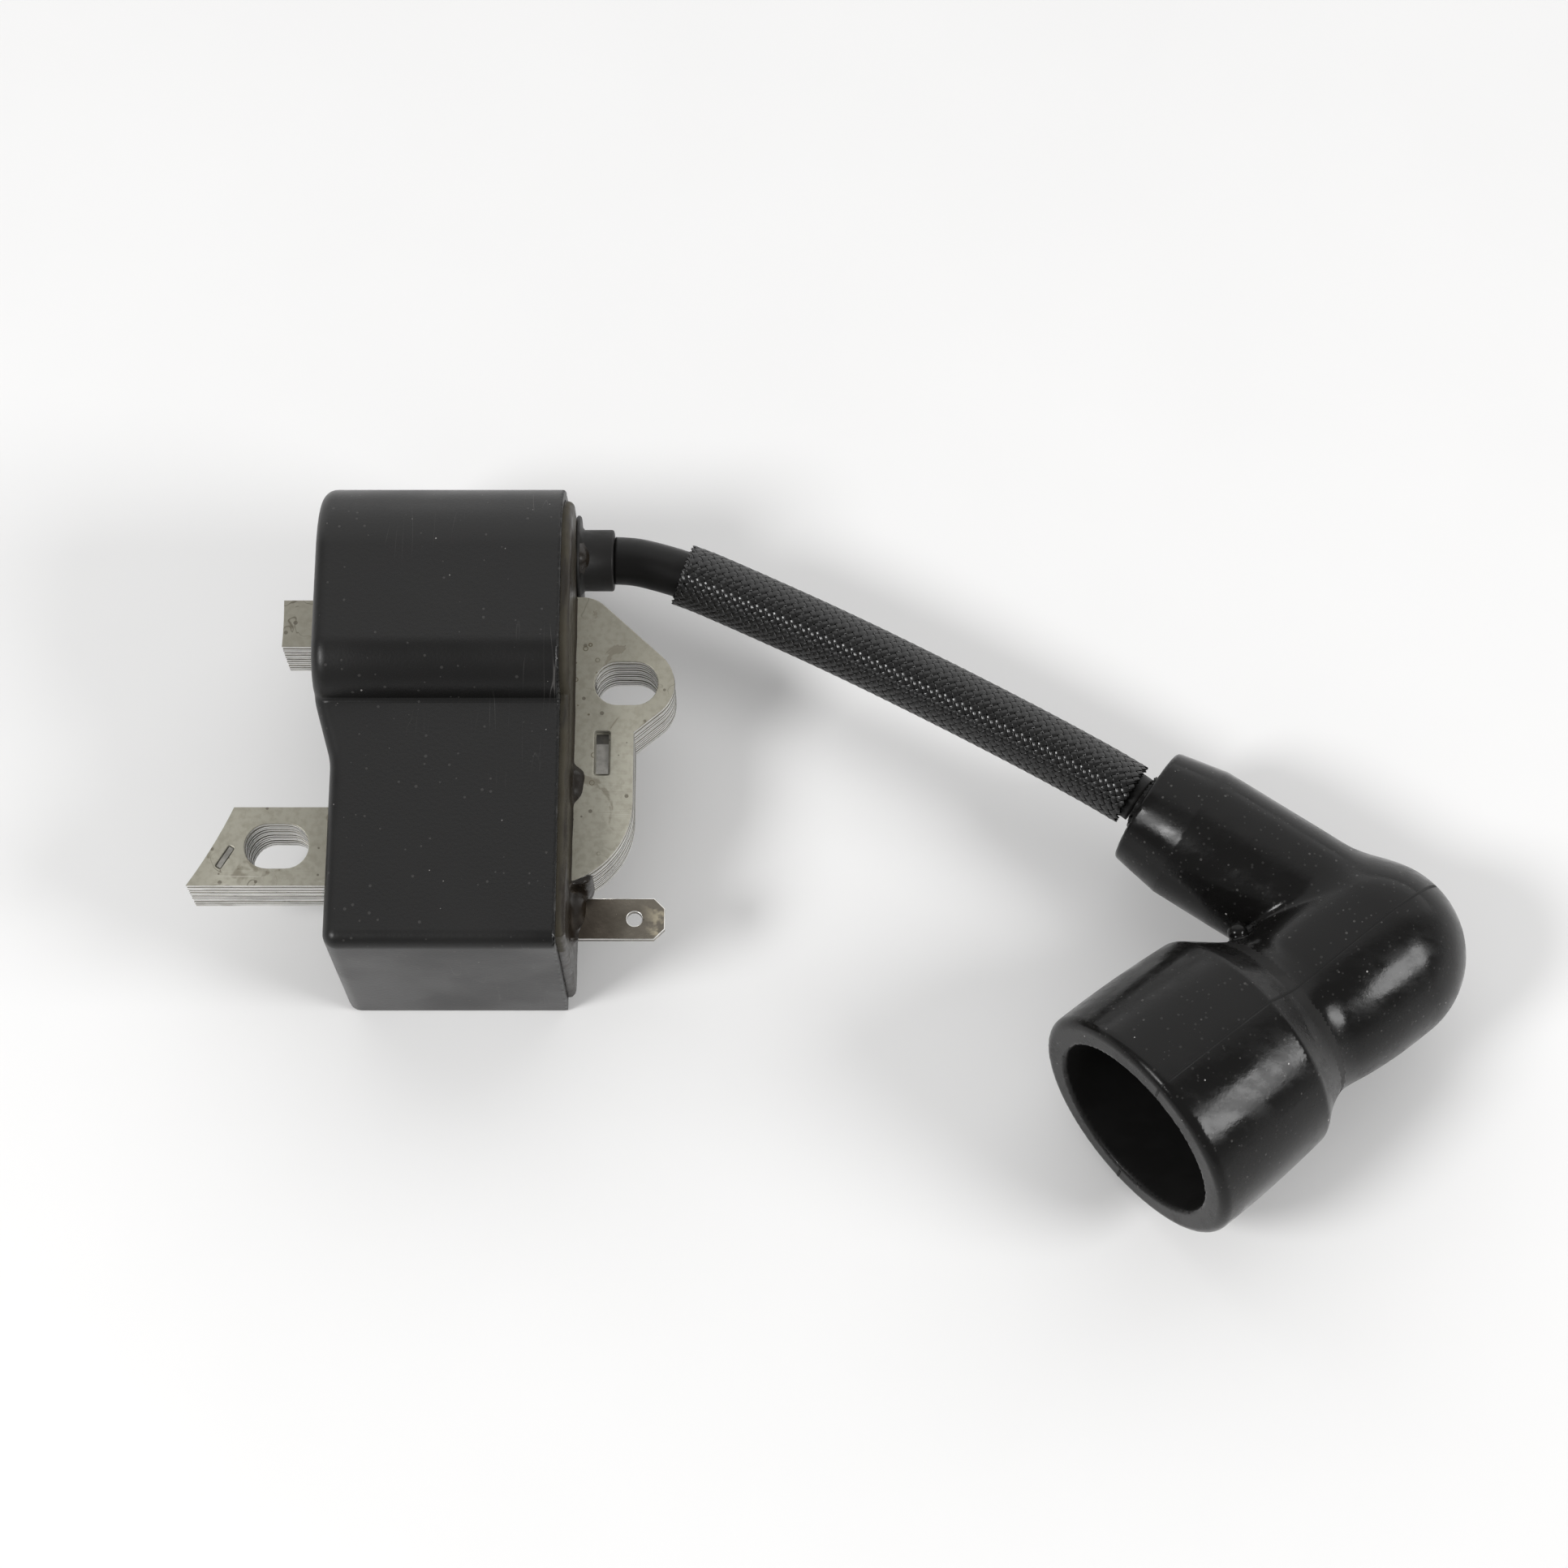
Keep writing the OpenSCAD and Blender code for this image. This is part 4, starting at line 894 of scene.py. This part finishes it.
# Stop terminal, with bright edges
BEVEL_TILT = (0.2, 0.95)
blade_loop = [(blade_low[0], blade_low[1]), (tip_x - BLADE_CHAMFER, blade_low[1]),
              (tip_x, blade_low[1] + BLADE_CHAMFER), (tip_x, blade_high[1] - BLADE_CHAMFER),
              (tip_x - BLADE_CHAMFER, blade_high[1]), (blade_low[0], blade_high[1])]
hole_at = (tip_x - HOLE_IN, (blade_low[1] + blade_high[1]) / 2)
hole_loop = arc(hole_at, HOLE_D / 2, 0, 360 - 360 / HOLE_SIDES, HOLE_SIDES - 1)
blade_mesh = filled("blade", [blade_loop, hole_loop], blade_high[2] - BLADE_T, BLADE_T, BLADE_ROUND)
points, faces = joined([blade_mesh])
blade = make_object("stop_blade", points, faces, "module", blade_paint, False)
blade.data.materials.append(edge_paint)
for polygon in blade.data.polygons:
    polygon.material_index = int(BEVEL_TILT[0] < abs(polygon.normal.z) < BEVEL_TILT[1])
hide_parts("stop_terminal")

# Lead collar with its thin flange on the resin's face: (radius, place) from its back end outward
COLLAR_GAP, COLLAR_CHAMFER = 0.05, 0.1
COLLAR_END, COLLAR_END_MID = 0.25, (0.08, 0.07)
FLANGE_T, FLANGE_EDGE = 0.5, 0.15
FLANGE_FOOT_R, FLANGE_FOOT_L = 0.5, 0.4
flange_r = (collar_high[1] - collar_low[1]) / 2
bore_r = LEAD_R + COLLAR_GAP
back, front = collar_low[0], collar_high[0]
flange_x0 = resin_high[0]
flange_x1 = flange_x0 + FLANGE_T
profile = [(bore_r, back), (COLLAR_R, back), (COLLAR_R, flange_x0),
           (flange_r - FLANGE_EDGE, flange_x0), (flange_r, flange_x0 + FLANGE_EDGE),
           (flange_r, flange_x1 - FLANGE_EDGE), (flange_r - FLANGE_EDGE, flange_x1),
           (COLLAR_R + FLANGE_FOOT_R, flange_x1), (COLLAR_R, flange_x1 + FLANGE_FOOT_L),
           (COLLAR_R, front - COLLAR_END), (COLLAR_R - COLLAR_END_MID[0], front - COLLAR_END_MID[1]),
           (COLLAR_R - COLLAR_END, front), (bore_r + COLLAR_CHAMFER, front),
           (bore_r, front - COLLAR_CHAMFER)]
points, faces = turned(profile, collar_axis, (1, 0, 0), COLLAR_SIDES)
collar = make_object("collar", points, faces, "module", collar_paint)
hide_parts("lead_collar")

# Lead
path, run = smooth_route(ROUTE, LEAD_STEP)
points, faces = sweep(path, round_section(LEAD_R, LEAD_SIDES))
lead = make_object("lead", points, faces, "module", lead_paint)
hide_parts("lead_insulation")

# Braided sleeve: two families of flat yarns that pass over and under each other
CARRIERS = 20
WEAVE, WEAVE_STEPS = 0.085, 5
BRAID_ANGLE = 45
YARN_W, YARN_RISE, YARN_FALL = 0.37, 0.10, 0.08
YARN_POINTS = 8
FILAMENTS, FILAMENT_DEPTH = 3, 0.30
weave_r = SLEEVE_R - YARN_RISE - WEAVE
weave_rate = math.tan(math.radians(BRAID_ANGLE)) / weave_r
weave_step = 2 * math.pi / (CARRIERS * weave_rate) / WEAVE_STEPS
sleeve_path, sleeve_run = smooth_route(ROUTE[SLEEVE_FROM:SLEEVE_TO + 1], weave_step)


def yarn_section():
    """Flat outline with a ridge for each filament, as (side, up) pairs."""
    side = np.linspace(1, -1, YARN_POINTS)
    ridges = 1 + FILAMENT_DEPTH * np.cos(FILAMENTS * math.pi * side)
    up = YARN_RISE * np.sqrt(1 - side ** 2) * ridges
    return np.vstack([np.stack([YARN_W * side, up], -1), [(0, -YARN_FALL)]])


def yarns():
    """Path and outward direction of each yarn."""
    side, up = route_frame(sleeve_path)
    for way in (1, -1):
        wave = way * WEAVE * np.cos(CARRIERS * weave_rate * sleeve_run)
        for carrier in range(CARRIERS):
            turn = 2 * math.pi * carrier / CARRIERS + way * weave_rate * sleeve_run
            spoke = np.cos(turn)[:, None] * side + np.sin(turn)[:, None] * up
            yield sleeve_path + (weave_r + wave)[:, None] * spoke, spoke


points, faces = [], []
for yarn, spoke in yarns():
    tube_points, tube_faces = sweep(yarn, yarn_section(), spoke)
    start = len(points) * len(tube_points)
    points.append(tube_points)
    faces += [tuple(start + k for k in face) for face in tube_faces]
sleeve = make_object("sleeve_braid", np.concatenate(points), faces, "sleeve", braid_paint)
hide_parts("braided_sleeve")

# Boot: its shape in its own frame, with Z along the mouth
BARREL_SWELL, SKIRT_SWELL = 0.4, 0.22
SKIRT_ROUND, NECK_ROUND, BORE_ROUND = 1.1, 0.5, 0.45
SKIRT_IN, SKIRT_BELOW = 1, 0.5
SKIRT_FILLET = 2.2
NECK_FILLET_S, NECK_FILLET = (-2, 6), (1.8, 0.9)
BEAD, BEAD_R, BEAD_FILLET = np.array([9.3, -4.0, 12.9]), 1.15, 0.5
SEAL_IN, LEAD_GAP = 2, 0.08
MOUTH_OVER, SPRING_OVER = 3, 1
MOUTH_MARGIN = 0.2
BOOT_CELL, BOOT_MARGIN = 0.42, 0.5


def in_boot(p):
    """Points in the boot's own frame."""
    return (p - boot_pos) @ boot_axes.T


def along_neck(q):
    """Distance from the neck's axis, and place along it."""
    t = q @ neck_local
    return np.sqrt(np.maximum((q ** 2).sum(-1) - t ** 2, 0)), t


def swelling(s, start, end, height):
    """Height of a shallow swell between two places along the boot."""
    return height * np.sin(math.pi * np.clip((s - start) / (end - start), 0, 1))


def boot_barrel(q):
    """Domed barrel, a little off the mouth's axis."""
    r, s = np.hypot(q[:, 0] + BARREL_OFF, q[:, 1]), q[:, 2]
    sides = outline(r, s, [(-DOME_R, DOME_S), (DOME_R, DOME_S), (WAIST_R, FLARE_S0), (WAIST_R, FLARE_S1),
                           (-WAIST_R, FLARE_S1)])
    sides = sides - swelling(s, DOME_S, FLARE_S0, BARREL_SWELL)
    return np.minimum(sides, np.hypot(r, s - DOME_S) - DOME_R)


def boot_skirt(q):
    """Flared skirt around the mouth."""
    r, s = np.hypot(q[:, 0], q[:, 1]), q[:, 2]
    lip_s = MOUTH_S - SKIRT_ROUND
    sides = outline(r, s, [(-1, FLARE_S0), (WAIST_R - SKIRT_IN, FLARE_S0),
                           (SKIRT_R - SKIRT_ROUND, FLARE_S1 + SKIRT_BELOW),
                           (LIP_R - SKIRT_ROUND, lip_s), (-1, lip_s)]) - SKIRT_ROUND
    return sides - swelling(s, FLARE_S1, MOUTH_S, SKIRT_SWELL)


def boot_neck(q):
    """Neck that the lead enters, with a taper at its end."""
    r, t = along_neck(q)
    neck_r, end_s = NECK_R - NECK_ROUND, NECK_L - NECK_ROUND
    return outline(r, t, [(-1, 0), (neck_r, 0), (neck_r, NECK_L - NECK_TAPER),
                          (NECK_END_R - NECK_ROUND, end_s), (-1, end_s)]) - NECK_ROUND


def boot_body(q):
    """Outside of the boot, with a bead of rubber in the crook and the seal lip on the neck's end."""
    body = smooth_union(boot_barrel(q), boot_skirt(q), SKIRT_FILLET)
    body = smooth_union(body, boot_neck(q), np.interp(q[:, 2], NECK_FILLET_S, NECK_FILLET))
    body = smooth_union(body, ball(q, BEAD, BEAD_R), BEAD_FILLET)
    return np.minimum(body, rod(*along_neck(q), SEAL_R, NECK_L - SEAL_IN, NECK_L + SEAL_OUT))


def boot_hollow(q):
    """Mouth with its cone, grip, spring bore and the lead's way in."""
    r, s = np.hypot(q[:, 0], q[:, 1]), q[:, 2]
    bore_end, above = MOUTH_S - MOUTH_BORE_L, MOUTH_S + MOUTH_OVER
    cone_end = bore_end - CONE_L
    mouth = outline(r, s, [(-1, cone_end), (GRIP_R, cone_end), (MOUTH_R, bore_end), (MOUTH_R, above),
                           (-1, above)])
    grip = rod(r, s, GRIP_R, SPRING_TOP, bore_end)
    spring_bore = rod(r, s, SPRING_BORE_R, -SPRING_BORE_R, SPRING_TOP + SPRING_OVER)
    neck_r, t = along_neck(q)
    entry = np.maximum(neck_r - LEAD_R - LEAD_GAP, -t)
    return np.minimum(np.minimum(mouth, grip), np.minimum(spring_bore, entry))


def boot_shape(p):
    """The boot with its hollow, its edges rounded."""
    q = in_boot(p)
    return round_meet(boot_body(q), -boot_hollow(q), BORE_ROUND)


boot_low, boot_high = box_mm("plug_boot")
points, quads, normals = skin(boot_shape, boot_low - BOOT_MARGIN, boot_high + BOOT_MARGIN, BOOT_CELL)
boot = make_object("boot_skin", points, quads, "boot", boot_paint, True, normals)
boot.data.materials.append(bore_paint)
side_u, side_v, depth = in_boot(points[quads].mean(axis=1)).T
in_mouth = (np.hypot(side_u, side_v) < MOUTH_R + MOUTH_MARGIN) & (depth > FLARE_S0)
boot.data.polygons.foreach_set("material_index", in_mouth.astype(int).tolist())
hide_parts("plug_boot")

# Seam of the boot's mould: a fine ridge over the top and along the underside
SEAM_X, SEAM_STEP = -0.75, 0.4
SEAM_PROFILE = [(-0.30, -0.06), (-0.13, 0.03), (0.0, 0.05), (0.13, 0.03), (0.30, -0.06)]
SEAM_RIM = [(MOUTH_R + 0.75, MOUTH_S), (LIP_R - 1.6, MOUTH_S), (LIP_R - 0.9, MOUTH_S - 0.1),
            (LIP_R - 0.35, MOUTH_S - 0.5)]
SEAM_GUIDE = [(4, DOME_S - 9), (DOME_R, DOME_S), (WAIST_R, FLARE_S0), (SKIRT_R, FLARE_S1), (LIP_R, MOUTH_S)]
SEAM_START, SEAM_END = MOUTH_S - 1.2, DOME_S - 8


def seam_line(side):
    """Middle of the ridge on one side, from the bore's edge to the dome, and the way out at each point."""
    rim_r, rim_s = np.transpose(SEAM_RIM)
    guide_r, guide_s = np.transpose(SEAM_GUIDE)
    places = np.arange(SEAM_START, SEAM_END, -SEAM_STEP)
    radius = np.concatenate([rim_r, np.interp(places, guide_s, guide_r)])
    places = np.concatenate([rim_s, places])
    line = np.stack([np.full(len(places), SEAM_X), side * radius, places], -1)
    line = settle(boot_body, line, 1.0, rounds=8)
    line[:, 0] = SEAM_X
    return line, unit_rows(gradient(boot_body, line))


def seam(side):
    """Points and faces of the ridge on one side of the boot."""
    line, out = seam_line(side)
    across = np.array([1.0, 0, 0])
    rows = np.stack([line + a * across + b * out for a, b in SEAM_PROFILE], 1)
    count = len(SEAM_PROFILE)
    faces = [(a * count + k, a * count + k + 1, (a + 1) * count + k + 1, (a + 1) * count + k)
             for a in range(len(line) - 1) for k in range(count - 1)]
    if side < 0:
        faces = [face[::-1] for face in faces]
    return rows.reshape(-1, 3) @ boot_axes + boot_pos, faces


for name, side in (("seam_top", -1), ("seam_under", 1)):
    points, faces = seam(side)
    make_object(name, points, faces, "boot", seam_paint)

# Contact spring: a prong from the strands, a link round the corner, then curls in the barrel
WIRE_R, WIRE_SIDES, WIRE_STEP = 0.4, 10, 0.4
CURL_R, CURLS, CURL_SIDES, CURL_PITCH, CURL_S0 = 2.7, 7, 24, 1.6, 3.2
PRONG = (6.0, 4.0, 2.0)
turns = np.linspace(0, 2 * math.pi * CURLS, CURL_SIDES * CURLS + 1)
curl_s = CURL_S0 + CURL_PITCH * turns / (2 * math.pi)
curl = np.stack([CURL_R * np.cos(turns), CURL_R * np.sin(turns), curl_s], -1)
prong = [tuple(s * neck_local) for s in PRONG]
link = [(-CURL_R * 0.2, -CURL_R * 0.2, 0.4), (CURL_R * 0.3, -CURL_R * 0.6, CURL_S0 - 1.6),
        (CURL_R * 0.9, -CURL_R * 0.6, CURL_S0 - 0.5)]
lead_in, _ = smooth_route(prong + link + [tuple(curl[0])], WIRE_STEP)
wire = np.concatenate([lead_in[:-1], curl]) @ boot_axes + boot_pos
points, faces = sweep(wire, round_section(WIRE_R, WIRE_SIDES))
spring = make_object("contact_wire", points, faces, "boot", plain["spring_steel"])
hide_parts("contact_spring")

# Stage, in metres: pale floor and soft studio light
FLOOR_HALF, FLOOR_DROP = 3.0, 0.00005
WORLD_FRONT, WORLD_BACK, WORLD_HORIZON = 0.32, 1.20, 0.50
BACK_FROM, BACK_TO, BACK_NARROWS = 0.13, 0.33, 0.35
HORIZON_TOP = 0.30


def floor():
    """Plain pale plane, a hair below the part."""
    corners = [(-1, -1, 0), (1, -1, 0), (1, 1, 0), (-1, 1, 0)]
    mesh = bpy.data.meshes.new("floor")
    mesh.from_pydata((FLOOR_HALF * np.array(corners)).tolist(), [], [(0, 1, 2, 3)])
    paint = Paint("floor", Roughness=0.6)
    cloud = paint.noise(30.0, 3.0)
    mesh.materials.append(paint.link(Base_Color=paint.mix(cloud, grey(0.80, 0.004), grey(0.83, 0.004))))
    plane = bpy.data.objects.new("floor", mesh)
    plane.location.z = -FLOOR_DROP
    bpy.context.scene.collection.objects.link(plane)


def lamp(name, place, target, size, watts):
    """Round area lamp at a place in metres, facing a target."""
    data = bpy.data.lights.new(name, "AREA")
    data.shape = "DISK"
    data.energy = watts
    data.size = size
    light = bpy.data.objects.new(name, data)
    light.location = place
    facing = unit(np.subtract(target, place))
    yaw = math.atan2(-facing[0], facing[1])
    pitch = math.acos(-facing[2])
    light.rotation_euler = (pitch, 0, yaw)
    bpy.context.scene.collection.objects.link(light)


def sky():
    """Studio surroundings: pale behind, darker overhead and in front, a brighter horizon."""
    world = bpy.data.worlds.new("studio")
    world.use_nodes = True
    nodes = Nodes(world.node_tree, "Generated")
    x, y, z = nodes.axes()
    aside = nodes.times(nodes.math("ABSOLUTE", x), BACK_NARROWS)
    behind = nodes.ramp(nodes.math("SUBTRACT", y, aside), BACK_FROM, BACK_TO, WORLD_FRONT, WORLD_BACK)
    horizon = nodes.ramp(z, 0.0, HORIZON_TOP, WORLD_HORIZON, 0.0)
    background = nodes.tree.nodes["Background"]
    background.inputs["Color"].default_value = (1, 1, 1, 1)
    nodes.tree.links.new(nodes.math("ADD", behind, horizon), background.inputs["Strength"])
    bpy.context.scene.world = world


floor()
sky()
lamp("left", (-0.475, -0.242, 0.604), (0.04, 0, 0), 0.25, 3.4)
lamp("right", (0.77, -0.20, 0.51), (0.05, 0, 0), 0.36, 4.2)
bpy.context.scene.view_settings.view_transform = "Standard"

bpy.context.view_layer.update()
